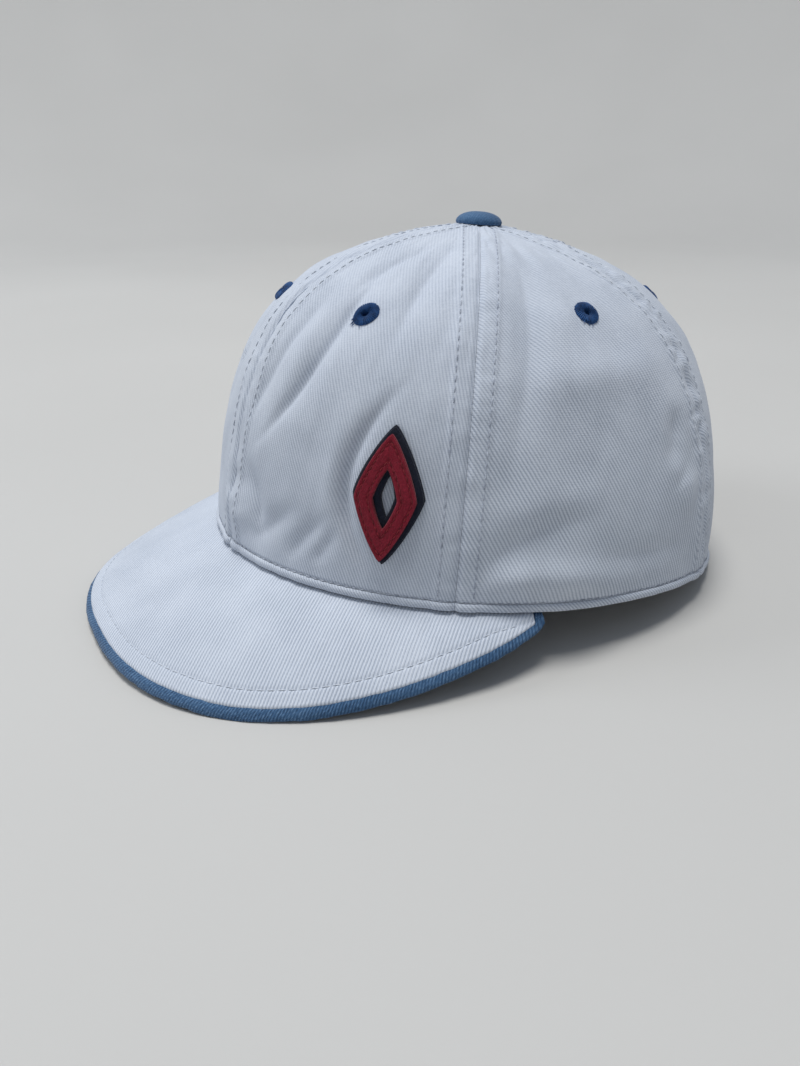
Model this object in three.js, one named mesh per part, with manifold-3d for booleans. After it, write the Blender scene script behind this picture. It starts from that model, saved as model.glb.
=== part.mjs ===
// A six-panel cotton cap with a curved peak and a strap at the back, at its real size in millimetres.
// The wearer looks along -Y, the wearer's left is +X, and the cap rests on the plane z = 0
// by the tip of its peak and the back of its rim.
//
// The crown is worked out in the cap's own frame, where the rim's sides lie at height 0.
// A place on it has two numbers: turn, in degrees round from the centre front towards the wearer's
// left, and rise, from 0 at the rim to 1 at the crown's top.
import * as THREE from 'three';
import { mergeVertices } from 'three/addons/utils/BufferGeometryUtils.js';
import ManifoldModule from 'manifold-3d';

// Rim and crown
const RIM_HALF_LENGTH = 95.4;
const RIM_HALF_WIDTH = 87.1;
const RIM_EGG = 0.06; // how much wider the back of the rim is than its front
const RIM_FRONT_LIFT = 0.5;
const RIM_BACK_DROP = 9.2;
const RIM_BEND = 1.5; // power with which the rim bends up and down towards its two ends
const CROWN_HEIGHT = 104.7;
const CROWN_TOP_Y = -5.3;
const CROWN_TOP_SLOPE = 6.9; // degrees
// The crown's outline from the rim to the top, seen at the front, side and back.
// wall: pull of the upright part. top: pull of the flat part. lean: outward lean at the rim, degrees.
const PROFILE = {
  front: { wall: 66.4, top: 78.1, lean: -2.4 },
  side: { wall: 65.4, top: 58.2, lean: -2.7 },
  back: { wall: 96.1, top: 67.2, lean: -5.2 },
};
const PROFILE_BLEND = 1.3;

// Cloth
const CLOTH = 1.5;
const HEM_CLOTH = 2.2;
const HEM_HEIGHT = 9.0;
const HEM_TAPER = 2.0; // height over which the hem thins to the cloth above it
const GAP = 0.3;
const TOP_HOLE_RISE = 0.982;

// Seams, the flat ribs that their turned-in edges make, and the panels between them
const SIDE_SEAM = 56;
const BACK_SEAM = 116;
const RIB_HALF_WIDTH = 6.5;
const RIB_HEIGHT = 0.5;
const RIB_STEP = 1.5; // width of the slope at a rib's side
const FINE = { across: 18, up: 20 };
const PLAIN = { across: 11, up: 13 };
const PANELS = [
  { name: 'panel_front_left', from: 0, to: SIDE_SEAM, grid: FINE },
  { name: 'panel_side_left', from: SIDE_SEAM, to: BACK_SEAM, grid: FINE },
  { name: 'panel_back_left', from: BACK_SEAM, to: 180, grid: PLAIN },
  { name: 'panel_back_right', from: 180, to: 360 - BACK_SEAM, grid: PLAIN },
  { name: 'panel_side_right', from: 360 - BACK_SEAM, to: 360 - SIDE_SEAM, grid: PLAIN },
  { name: 'panel_front_right', from: 360 - SIDE_SEAM, to: 360, grid: PLAIN },
];
const SEAMS = [0, SIDE_SEAM, BACK_SEAM, 180, 360 - BACK_SEAM, 360 - SIDE_SEAM];

// Opening at the back: an arch in the two back panels
const ARCH_HALF_TURN = 32; // degrees
const ARCH_RISE = 0.205;
const ARCH_COLUMNS = 0.58; // part of a back panel's columns that stand over the arch

// Folds and dents of the crown: each is a soft ridge or valley along a short curve.
// start, middle, end: [turn, rise]. width: half width in mm. height: in mm, below 0 for a valley.
// They fade out from the rim up to rise FADE.foot and from rise FADE.shoulder up to FADE.top.
const FADE = { foot: 0.035, shoulder: 0.8, top: 0.93 };
const FOLD_STEPS = 12;
const FOLDS = [
  { name: 'long crease', start: [26, 0.76], middle: [21.5, 0.52], end: [17, 0.29], width: 5, height: -2.0 },
  { name: 'front crease', start: [17, 0.68], middle: [10, 0.45], end: [8, 0.25], width: 6, height: -1.2 },
  { name: 'top crease', start: [44, 0.84], middle: [38.5, 0.58], end: [39.5, 0.38], width: 6, height: -1.3 },
  { name: 'patch crease', start: [36, 0.33], middle: [34.7, 0.2], end: [36, 0.09], width: 4.5, height: -1.5 },
  { name: 'front puff', start: [2, 0.12], middle: [4, 0.09], end: [6, 0.05], width: 8, height: 2.0 },
  { name: 'pinch', start: [9, 0.16], middle: [10, 0.125], end: [11, 0.09], width: 4.5, height: -2.4 },
  { name: 'gather 1', start: [15, 0.08], middle: [15.5, 0.06], end: [16, 0.045], width: 5, height: -1.6 },
  { name: 'gather 2', start: [22, 0.1], middle: [22.5, 0.075], end: [23, 0.05], width: 5, height: -1.6 },
  { name: 'gather 3', start: [28.5, 0.08], middle: [29, 0.06], end: [29.5, 0.045], width: 5, height: -1.4 },
  { name: 'seam fold', start: [71.5, 0.78], middle: [68, 0.5], end: [64, 0.2], width: 5, height: -2.0 },
  { name: 'side hollow', start: [68, 0.27], middle: [84, 0.27], end: [101, 0.29], width: 17, height: -1.8 },
  { name: 'pinch ridge', start: [63, 0.15], middle: [72, 0.165], end: [88, 0.165], width: 5, height: 1.4 },
  { name: 'pinch valley', start: [62, 0.085], middle: [69, 0.115], end: [79, 0.14], width: 5, height: -2.2 },
  { name: 'hem puff', start: [63, 0.045], middle: [73, 0.05], end: [84, 0.05], width: 6, height: 2.4 },
  { name: 'rear valley', start: [84, 0.072], middle: [92, 0.068], end: [100, 0.07], width: 5, height: -1.4 },
  { name: 'rear dent', start: [105.5, 0.33], middle: [105, 0.28], end: [104, 0.23], width: 6, height: -2.0 },
  { name: 'rear puff', start: [104, 0.18], middle: [107, 0.175], end: [110, 0.18], width: 6, height: 1.6 },
  { name: 'right crease', start: [332, 0.74], middle: [340, 0.5], end: [345, 0.26], width: 8, height: -1.8 },
  { name: 'right fold', start: [290, 0.72], middle: [292, 0.5], end: [296, 0.22], width: 8, height: -1.8 },
  { name: 'right puff', start: [300, 0.06], middle: [288, 0.055], end: [276, 0.06], width: 8, height: 1.6 },
  { name: 'back fold', start: [150, 0.6], middle: [146, 0.45], end: [140, 0.28], width: 9, height: -1.8 },
  { name: 'nape fold', start: [208, 0.62], middle: [213, 0.46], end: [221, 0.3], width: 9, height: -1.6 },
];

// Eyelets: an outer flange, a tube through the cloth and an inner flange in one
const EYELET_TURNS = { front: 28, side: 88, back: 149 };
const EYELET_RISES = { front: 0.56, side: 0.59, back: 0.57 };
const EYELET = {
  hole: 1.4,
  tube: 2.0,
  outer: 4.8,
  inner: 3.4,
  cut: 2.5,
  proud: 0.9,
  flange: 0.7,
  slope: 0.6,
};
const EYELET_SIDES = 12;

// Button
const BUTTON_RADIUS = 7.8;
const BUTTON_HEIGHT = 4.6;
const BUTTON_LIFT = 0.9;
const STEM_RADIUS = 2.0;
const STEM_LENGTH = 4.0;
const BUTTON_SIDES = 16;
const BUTTON_DISH = 0.9; // how far in from the edge its dished underside begins
const BUTTON_EDGE = 1.0; // height of its upright edge under the dome
const BUTTON_DOME = { steps: 7, out: 0.8, up: 0.9 }; // powers below 1 make the dome fuller

// Peak: its outline runs round in front of the rim and its sides bend down
const PEAK_END = 74.9; // degrees round from the front, where each end meets the rim
const PEAK_REACH = 45.5;
const PEAK_DROP = 21.8; // how far its tip lies below the front of the rim
const PEAK_WIDER = 3.4; // how far each side stands out past the ends
const PEAK_POWER = 2.41;
// The edge rises from the tip's height to the rim along its sides: where that starts, as a part
// of the peak's length from its ends, and how quickly it goes on.
const PEAK_RISE_START = 0.83;
const PEAK_RISE_POWER = 1.41;
const PEAK_CROWNING = 2.2; // how far it bulges up between rim and edge
const PEAK_TUCK = 1.6; // how far it reaches in under the hem
const PEAK_TOP_CLOTH = 1.2;
const PEAK_THIN_ENDS = 0.62; // its thickness at its two ends, as a part of the whole
const PEAK_THICKNESS = 3.6;
const PEAK_LIP = 1.7; // width of the wrapped edge beside the upper cloth
// The wrapped edge's section: inward as a part of PEAK_LIP, down as a part of the thickness
const LIP_SECTION = [
  { inward: 0.3, down: 0.08 },
  { inward: 0, down: 0.45 },
  { inward: 0.25, down: 0.85 },
];
const LIP_PROUD = 0.1; // how far the wrapped edge stands over the upper cloth
const PEAK_STEPS = 36;
const PEAK_ACROSS = 5;
const PEAK_SPAN = 0.965; // part of the outline's length that the solid covers

// Felt applique on the left front panel, an upright lozenge ring of two layers
const PATCH_TURN = 42.2;
const PATCH_RISE = 0.182;
const PATCH_BASE = { width: 21.0, height: 40.5, openWidth: 4.0, openHeight: 12, from: 0.35, thick: 1.3 };
const PATCH_TOP = { width: 17.8, height: 36.6, openWidth: 7.0, openHeight: 17, from: 1.95, thick: 1.5 };
const PATCH_TOP_SHIFT = { right: -0.5, up: -0.7 };
const PATCH_ROUND = 1.22; // power of the lozenge's outline, where 1 is a sharp lozenge and 2 an oval
const PATCH_SIDES = 24;
const PATCH_BEVEL = { down: 0.3, across: 0.07 }; // across: as a part of the ring's width

// Strap: two lapped ends with studs, across the opening
const STRAP_HALF_TURN = 38.5;
const STRAP_HEIGHT = 18.0;
const STRAP_LIFT = 4.6;
const STRAP_THICK = 1.4;
const STRAP_LAP = 13.5; // half the length of the lap, degrees
const STRAP_LAP_EDGE = 0.8; // over which the lap's outer end slopes off, degrees
const STRAP_STEPS = 26;
const STUD_RADIUS = 2.1;
const STUD_HEIGHT = 0.9;
const STUD_ROOT = 1.0; // how deep a stud reaches into the strap
const STUD_SIDES = 10;
const STUD_TURNS = [-11, -5.5, 0, 5.5, 11];

// Sweatband
const BAND_FOOT = 1.0; // height of its lower edge over the rim
const BAND_HEIGHT = 30;
const BAND_HALF_TURN = 139;
const BAND_THICK = 1.4;
const BAND_CLEAR = { low: 0.6, high: 3.2 };
const BAND_STEPS = 50;

// How the cap rests: nose up by this angle, degrees
const REST_TILT = 5.13;

const COLORS = {
  twill: { color: 0xc3cad3, roughness: 0.92 },
  blue: { color: 0x3f6591, roughness: 0.9 },
  navy: { color: 0x1c2b45, roughness: 0.95 },
  red: { color: 0x8f1f2c, roughness: 0.95 },
  plastic: { color: 0x34547c, roughness: 0.45 },
};

const wasm = await ManifoldModule();
wasm.setup();

const radians = THREE.MathUtils.degToRad;
const vec = (x, y, z) => new THREE.Vector3(x, y, z);
const along = (point, direction, distance) => point.clone().addScaledVector(direction, distance);
const lerp = THREE.MathUtils.lerp;

// A value that runs smoothly from the front's over the side's to the back's.
function blendRound(turn, key) {
  const c = Math.cos(radians(turn));
  const end = c > 0 ? PROFILE.front[key] : PROFILE.back[key];
  return lerp(PROFILE.side[key], end, Math.abs(c) ** PROFILE_BLEND);
}

// The rim: an egg-shaped oval that lifts a little at the front and drops at the back.
function rim(turn) {
  const a = radians(turn);
  const x = RIM_HALF_WIDTH * Math.sin(a) * (1 - RIM_EGG * Math.cos(a));
  const y = -RIM_HALF_LENGTH * Math.cos(a);
  const lift = RIM_FRONT_LIFT * Math.max(Math.cos(a), 0) ** RIM_BEND;
  const drop = RIM_BACK_DROP * Math.max(-Math.cos(a), 0) ** RIM_BEND;
  return vec(x, y, lift - drop);
}

// The crown without folds: at each turn a cubic curve from the rim to the top.
function crown(turn, rise) {
  const foot = rim(turn);
  const top = vec(0, CROWN_TOP_Y, CROWN_HEIGHT);
  const out = vec(foot.x - top.x, foot.y - top.y, 0).normalize();
  const lean = radians(blendRound(turn, 'lean'));
  const slope = radians(CROWN_TOP_SLOPE);
  const wall = blendRound(turn, 'wall');
  const flat = blendRound(turn, 'top');
  const low = along(foot, out, wall * Math.sin(lean));
  low.z += wall * Math.cos(lean);
  const high = along(top, out, flat * Math.cos(slope));
  high.z -= flat * Math.sin(slope);
  return new THREE.CubicBezierCurve3(foot, low, high, top).getPoint(rise);
}

function crownNormal(turn, rise) {
  const step = 0.002;
  const up = crown(turn, Math.min(rise + step, 1)).sub(crown(turn, rise - step));
  const round = crown(turn + 0.2, Math.min(rise, 0.995)).sub(crown(turn - 0.2, Math.min(rise, 0.995)));
  return round.cross(up).normalize();
}

// Millimetres along the crown for one degree of turn, and for one unit of rise.
function crownScale(turn, rise) {
  return {
    turn: crown(turn + 0.5, rise).distanceTo(crown(turn - 0.5, rise)),
    rise: crown(turn, rise + 0.005).distanceTo(crown(turn, rise - 0.005)) / 0.01,
  };
}

function foldLine(fold) {
  const points = [];
  for (let i = 0; i <= FOLD_STEPS; i += 1) {
    const t = i / FOLD_STEPS;
    const weights = [(1 - t) * (1 - 2 * t), 4 * t * (1 - t), t * (2 * t - 1)];
    const places = [fold.start, fold.middle, fold.end];
    const turn = places.reduce((sum, place, k) => sum + place[0] * weights[k], 0);
    const rise = places.reduce((sum, place, k) => sum + place[1] * weights[k], 0);
    points.push(crown(turn, rise));
  }
  return points;
}

const FOLD_LINES = FOLDS.map(foldLine);

function distanceToLine(point, line) {
  let nearest = Infinity;
  const close = vec(0, 0, 0);
  for (let i = 1; i < line.length; i += 1) {
    new THREE.Line3(line[i - 1], line[i]).closestPointToPoint(point, true, close);
    nearest = Math.min(nearest, close.distanceTo(point));
  }
  return nearest;
}

// How far the folded cloth stands proud of the bare crown. It fades out at the rim and the top.
function relief(turn, rise, point) {
  let height = 0;
  FOLDS.forEach((fold, i) => {
    const distance = distanceToLine(point, FOLD_LINES[i]);
    height += fold.height * Math.exp(-((distance / fold.width) ** 2));
  });
  const { smoothstep } = THREE.MathUtils;
  const fade = smoothstep(rise, 0, FADE.foot) * (1 - smoothstep(rise, FADE.shoulder, FADE.top));
  const perTurn = crownScale(turn, Math.min(rise, 0.99)).turn;
  const toSeam = Math.min(...SEAMS.map((seam) => Math.abs(((turn - seam + 540) % 360) - 180))) * perTurn;
  const rib = RIB_HEIGHT * (1 - smoothstep(toSeam, RIB_HALF_WIDTH - RIB_STEP, RIB_HALF_WIDTH));
  return height * fade + rib;
}

function outside(turn, rise) {
  const bare = crown(turn, rise);
  const normal = crownNormal(turn, rise);
  return { point: along(bare, normal, relief(turn, rise, bare)), normal };
}

// Triangles between neighbouring sections of count points, and from the last to the first in a ring.
function sideFaces(sections, count, ring) {
  const index = [];
  for (let i = 0; i < (ring ? sections : sections - 1); i += 1) {
    const here = i * count;
    const next = ((i + 1) % sections) * count;
    for (let j = 0; j < count; j += 1) {
      const k = (j + 1) % count;
      index.push(here + j, next + j, next + k, here + j, next + k, here + k);
    }
  }
  return index;
}

// A closed mesh from sections that each have the same number of points. The sections are open
// ended, with a cap on the first and last, or run round to the first again when ring is true.
function loft(sections, ring) {
  const count = sections[0].length;
  const positions = sections.flat().flatMap((p) => [p.x, p.y, p.z]);
  const index = sideFaces(sections.length, count, ring);
  if (!ring) {
    const capOf = (section) => {
      const normal = vec(0, 0, 0);
      section.forEach((p, j) => normal.add(p.clone().cross(section[(j + 1) % count])));
      const flat = new THREE.Quaternion().setFromUnitVectors(normal.normalize(), vec(0, 0, 1));
      const outline = section.map((p) => {
        const turned = p.clone().applyQuaternion(flat);
        return new THREE.Vector2(turned.x, turned.y);
      });
      return THREE.ShapeUtils.triangulateShape(outline, []);
    };
    const last = (sections.length - 1) * count;
    capOf(sections[0]).forEach(([a, b, c]) => index.push(a, b, c));
    capOf(sections[sections.length - 1]).forEach(([a, b, c]) => index.push(last + a, last + c, last + b));
  }
  return facingOut(positions, index);
}

// A wall from two grids of points, outer and inner, closed along its four edges.
function wallBetween(outer, inner) {
  const rows = outer[0].length;
  const sections = outer.map((line, i) => [...line, ...inner[i].slice().reverse()]);
  const count = rows * 2;
  const positions = sections.flat().flatMap((p) => [p.x, p.y, p.z]);
  const index = sideFaces(sections.length, count, false);
  const last = (sections.length - 1) * count;
  for (let j = 0; j + 1 < rows; j += 1) {
    const a = j;
    const b = j + 1;
    const c = count - 2 - j;
    const d = count - 1 - j;
    index.push(a, b, c, a, c, d);
    index.push(last + a, last + c, last + b, last + a, last + d, last + c);
  }
  return facingOut(positions, index);
}

function facingOut(positions, index) {
  const geometry = new THREE.BufferGeometry();
  let volume = 0;
  const at = (i) => vec(positions[3 * i], positions[3 * i + 1], positions[3 * i + 2]);
  for (let i = 0; i < index.length; i += 3) {
    volume += at(index[i]).dot(at(index[i + 1]).cross(at(index[i + 2])));
  }
  if (volume < 0) {
    for (let i = 0; i < index.length; i += 3) {
      [index[i + 1], index[i + 2]] = [index[i + 2], index[i + 1]];
    }
  }
  geometry.setAttribute('position', new THREE.Float32BufferAttribute(positions, 3));
  geometry.setIndex(index);
  return geometry;
}

function toSolid(geometry) {
  const bare = geometry.clone();
  bare.deleteAttribute('normal');
  bare.deleteAttribute('uv');
  const merged = mergeVertices(bare, 1e-4);
  const vertProperties = new Float32Array(merged.attributes.position.array);
  const triVerts = new Uint32Array(merged.index.array);
  return new wasm.Manifold(new wasm.Mesh({ numProp: 3, vertProperties, triVerts }));
}

function toGeometry(solid) {
  const mesh = solid.getMesh();
  const geometry = new THREE.BufferGeometry();
  geometry.setAttribute('position', new THREE.Float32BufferAttribute(Array.from(mesh.vertProperties), 3));
  geometry.setIndex(Array.from(mesh.triVerts));
  return geometry;
}

const cap = new THREE.Group();

function addPiece(name, geometry, look) {
  const material = new THREE.MeshStandardMaterial({ ...look, metalness: 0 });
  const mesh = new THREE.Mesh(geometry, material);
  mesh.name = name;
  cap.add(mesh);
}

// The rise at which a panel's lower edge runs: 0 at the rim, and the arch's edge over the opening.
function lowerEdge(turn) {
  const fromBack = Math.abs(turn - 180) / ARCH_HALF_TURN;
  return fromBack >= 1 ? 0 : ARCH_RISE * Math.sqrt(1 - fromBack ** 2);
}

// Turns of a panel's columns, closer together towards the foot of the arch.
function panelTurns(panel) {
  const turns = [];
  const foot = panel.from < 180 ? 180 - ARCH_HALF_TURN : 180 + ARCH_HALF_TURN;
  const hasArch = panel.from === 180 || panel.to === 180;
  for (let i = 0; i <= panel.grid.across; i += 1) {
    const t = i / panel.grid.across;
    let turn = lerp(panel.from, panel.to, t);
    if (hasArch) {
      const fromBack = panel.to === 180 ? 1 - t : t;
      const side = panel.to === 180 ? -1 : 1;
      const seam = panel.to === 180 ? panel.from : panel.to;
      turn = fromBack < ARCH_COLUMNS
        ? 180 + side * ARCH_HALF_TURN * Math.sin((fromBack / ARCH_COLUMNS) * Math.PI / 2)
        : lerp(foot, seam, (fromBack - ARCH_COLUMNS) / (1 - ARCH_COLUMNS));
    }
    turns.push(turn);
  }
  return turns;
}

function hemClothAt(rise, perRise) {
  const height = rise * perRise;
  return lerp(HEM_CLOTH, CLOTH, THREE.MathUtils.smoothstep(height, HEM_HEIGHT - HEM_TAPER, HEM_HEIGHT));
}

function panelGeometry(panel) {
  const turns = panelTurns(panel);
  const outer = [];
  const inner = [];
  turns.forEach((turn, i) => {
    const from = lowerEdge(turn);
    const outerLine = [];
    const innerLine = [];
    for (let j = 0; j <= panel.grid.up; j += 1) {
      const t = j / panel.grid.up;
      const rise = lerp(from, TOP_HOLE_RISE, t);
      const scale = crownScale(turn, Math.min(rise, 0.99));
      let gapTurn = 0;
      if (i === 0) gapTurn = GAP / 2 / scale.turn;
      if (i === turns.length - 1) gapTurn = -GAP / 2 / scale.turn;
      const place = outside(turn + gapTurn, rise);
      outerLine.push(place.point);
      innerLine.push(along(place.point, place.normal, -hemClothAt(rise, scale.rise)));
    }
    outer.push(outerLine);
    inner.push(innerLine);
  });
  return wallBetween(outer, inner);
}

// A place on the folded crown, right and up from a centre by millimetres, and proud of it.
function draped(turn, rise, right, up, proud) {
  const halfWay = rise + up / 2 / crownScale(turn, rise).rise;
  const newRise = rise + up / crownScale(turn, halfWay).rise;
  const newTurn = turn + right / crownScale(turn, newRise).turn;
  const place = outside(newTurn, newRise);
  return along(place.point, place.normal, proud);
}

// A ring of sections round a hole, each section a list of [radius, height above the cloth].
function eyeletGeometry(turn, rise) {
  const under = -CLOTH - GAP;
  const profile = [
    [EYELET.hole, EYELET.proud],
    [EYELET.hole, under - EYELET.flange],
    [EYELET.inner, under - EYELET.flange],
    [EYELET.inner, under],
    [EYELET.tube, under],
    [EYELET.tube, GAP],
    [EYELET.outer, GAP],
    [EYELET.outer - EYELET.slope, EYELET.proud],
  ];
  const sections = [];
  for (let i = 0; i < EYELET_SIDES; i += 1) {
    const a = (i / EYELET_SIDES) * Math.PI * 2;
    sections.push(profile.map(([r, h]) => draped(turn, rise, r * Math.cos(a), r * Math.sin(a), h)));
  }
  return loft(sections, true);
}

function eyeletHole(turn, rise) {
  const sections = [-CLOTH - EYELET.cut, EYELET.cut].map((height) => {
    const line = [];
    for (let i = 0; i < EYELET_SIDES; i += 1) {
      const a = (i / EYELET_SIDES) * Math.PI * 2;
      line.push(draped(turn, rise, EYELET.cut * Math.cos(a), EYELET.cut * Math.sin(a), height));
    }
    return line;
  });
  return toSolid(loft(sections, false));
}

function addPanelsAndEyelets() {
  PANELS.forEach((panel) => {
    const where = panel.name.split('_')[1];
    const turn = panel.name.endsWith('_left') ? EYELET_TURNS[where] : 360 - EYELET_TURNS[where];
    const rise = EYELET_RISES[where];
    const solid = toSolid(panelGeometry(panel)).subtract(eyeletHole(turn, rise));
    addPiece(panel.name, toGeometry(solid), COLORS.twill);
    addPiece(panel.name.replace('panel', 'eyelet'), eyeletGeometry(turn, rise), COLORS.blue);
  });
}

// The button: a low dome over a dished underside, with a stem down through the crown.
function addButton() {
  const coneAt = (radius) => -radius * Math.tan(radians(CROWN_TOP_SLOPE));
  const profile = [
    [0, -STEM_LENGTH],
    [STEM_RADIUS, -STEM_LENGTH],
    [STEM_RADIUS, 0],
    [BUTTON_RADIUS - BUTTON_DISH, coneAt(BUTTON_RADIUS - BUTTON_DISH)],
  ];
  const foot = coneAt(BUTTON_RADIUS) + BUTTON_EDGE;
  for (let i = 0; i < BUTTON_DOME.steps; i += 1) {
    const a = (i / BUTTON_DOME.steps) * Math.PI / 2;
    const lift = (BUTTON_HEIGHT - BUTTON_EDGE) * Math.sin(a) ** BUTTON_DOME.up;
    profile.push([BUTTON_RADIUS * Math.cos(a) ** BUTTON_DOME.out, foot + lift]);
  }
  profile.push([0, coneAt(BUTTON_RADIUS) + BUTTON_HEIGHT]);
  const points = profile.map(([r, z]) => new THREE.Vector2(r, z));
  const geometry = new THREE.LatheGeometry(points, BUTTON_SIDES);
  geometry.rotateX(Math.PI / 2);
  geometry.translate(0, CROWN_TOP_Y, CROWN_HEIGHT + BUTTON_LIFT);
  addPiece('button', geometry, COLORS.blue);
}

// The peak's outer edge: half of a superellipse in plan that lies low at the front and rises along
// its sides to the rim.
function peakEdge() {
  const end = rim(PEAK_END);
  const half = end.x + PEAK_WIDER;
  const length = RIM_HALF_LENGTH + PEAK_REACH + end.y;
  const tipHeight = RIM_FRONT_LIFT - PEAK_DROP;
  const line = [];
  const dense = 600;
  for (let i = 0; i <= dense; i += 1) {
    const a = lerp(-Math.PI / 2, Math.PI / 2, i / dense);
    const side = Math.abs(Math.sin(a)) ** (2 / PEAK_POWER);
    const ahead = Math.max(Math.cos(a), 0) ** (2 / PEAK_POWER);
    const x = Math.sign(a) * side * (half - PEAK_WIDER * Math.max(1 - ahead * 4, 0) ** 2);
    const z = lerp(tipHeight, end.z, Math.max(1 - ahead / PEAK_RISE_START, 0) ** PEAK_RISE_POWER);
    line.push(vec(x, end.y - length * ahead, z));
  }
  return line;
}

// Points at even distances along a line, from one part of its length to another.
function evenly(line, steps, from, to) {
  const lengths = [0];
  for (let i = 1; i < line.length; i += 1) lengths.push(lengths[i - 1] + line[i].distanceTo(line[i - 1]));
  const total = lengths[lengths.length - 1];
  const points = [];
  let k = 1;
  for (let i = 0; i <= steps; i += 1) {
    const wanted = total * lerp(from, to, i / steps);
    while (k < line.length - 1 && lengths[k] < wanted) k += 1;
    const t = (wanted - lengths[k - 1]) / (lengths[k] - lengths[k - 1]);
    points.push(line[k - 1].clone().lerp(line[k], t));
  }
  return points;
}

// Sections of the peak from end to end. Each gives the upper surface from under the hem to the
// edge, and the peak's own thickness there, which thins out towards the two ends.
function peakSections() {
  const margin = (1 - PEAK_SPAN) / 2;
  const edge = evenly(peakEdge(), PEAK_STEPS, margin, 1 - margin);
  return edge.map((outer, i) => {
    const s = lerp(-1, 1, i / PEAK_STEPS) * PEAK_SPAN;
    const turn = PEAK_END * s;
    const foot = rim(turn);
    const out = crownNormal(turn, 0.004).setZ(0).normalize();
    const inner = along(foot, out, -PEAK_TUCK);
    inner.z -= GAP;
    const upper = [];
    for (let j = 0; j <= PEAK_ACROSS; j += 1) {
      const t = j / PEAK_ACROSS;
      const point = inner.clone().lerp(outer, t);
      point.z += PEAK_CROWNING * 4 * t * (1 - t) * (1 - s ** 4);
      upper.push(point);
    }
    return { upper, thin: lerp(1, PEAK_THIN_ENDS, Math.abs(s) ** 6) };
  });
}

// Points along a section's upper surface, moved down by drop, up to short of the edge.
function sectionLine(upper, short, drop) {
  const edge = upper[upper.length - 1];
  const width = edge.distanceTo(upper[0]);
  const keep = 1 - short / width;
  return upper.map((unused, j) => {
    const t = (j / PEAK_ACROSS) * keep * PEAK_ACROSS;
    const k = Math.min(Math.floor(t), PEAK_ACROSS - 1);
    const point = upper[k].clone().lerp(upper[k + 1], t - k);
    point.z -= drop;
    return point;
  });
}

function addPeak() {
  const topSections = [];
  const underSections = [];
  peakSections().forEach(({ upper, thin }) => {
    const cloth = PEAK_TOP_CLOTH * thin;
    const thick = PEAK_THICKNESS * thin;
    const topUpper = sectionLine(upper, PEAK_LIP + GAP, 0);
    const topLower = sectionLine(upper, PEAK_LIP + GAP, cloth);
    topSections.push([...topUpper, ...topLower.reverse()]);
    const seat = sectionLine(upper, PEAK_LIP, cloth + GAP);
    const lip = sectionLine(upper, PEAK_LIP, -LIP_PROUD)[PEAK_ACROSS];
    const bottom = sectionLine(upper, PEAK_LIP, thick);
    const edge = upper[PEAK_ACROSS];
    const inward = upper[0].clone().sub(edge).setZ(0).normalize();
    const nose = LIP_SECTION.map((place) => {
      const point = along(edge, inward, PEAK_LIP * place.inward);
      point.z -= thick * place.down;
      return point;
    });
    underSections.push([...seat, lip, ...nose, ...bottom.reverse()]);
  });
  addPiece('peak_top', loft(topSections, false), COLORS.twill);
  addPiece('peak_under', loft(underSections, false), COLORS.blue);
}

// One felt layer: a lozenge ring whose outline is |x|^p + |y|^p = 1, draped on the panel.
function patchGeometry(layer, shift) {
  const sections = [];
  for (let i = 0; i < PATCH_SIDES; i += 1) {
    const a = ((i + 0.5) / PATCH_SIDES) * Math.PI * 2;
    const c = Math.sign(Math.cos(a)) * Math.abs(Math.cos(a)) ** (2 / PATCH_ROUND);
    const s = Math.sign(Math.sin(a)) * Math.abs(Math.sin(a)) ** (2 / PATCH_ROUND);
    const place = (t, height) => draped(
      PATCH_TURN,
      PATCH_RISE,
      shift.right + c * lerp(layer.openWidth, layer.width, t) / 2,
      shift.up + s * lerp(layer.openHeight, layer.height, t) / 2,
      height,
    );
    const top = layer.from + layer.thick;
    sections.push([
      place(0, layer.from),
      place(0.5, layer.from),
      place(1, layer.from),
      place(1, top - PATCH_BEVEL.down),
      place(1 - PATCH_BEVEL.across, top),
      place(0.5, top),
      place(PATCH_BEVEL.across, top),
      place(0, top - PATCH_BEVEL.down),
    ]);
  }
  return loft(sections, true);
}

function addPatch() {
  addPiece('patch_base', patchGeometry(PATCH_BASE, { right: 0, up: 0 }), COLORS.navy);
  addPiece('patch_top', patchGeometry(PATCH_TOP, PATCH_TOP_SHIFT), COLORS.red);
}

// A point up the wall from the rim by a height, and in from the bare crown by a distance.
function insideRim(turn, height, inward) {
  const rise = height / crownScale(turn, 0.02).rise;
  const bare = crown(turn, rise);
  return along(bare, crownNormal(turn, Math.max(rise, 0.004)), -inward);
}

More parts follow.
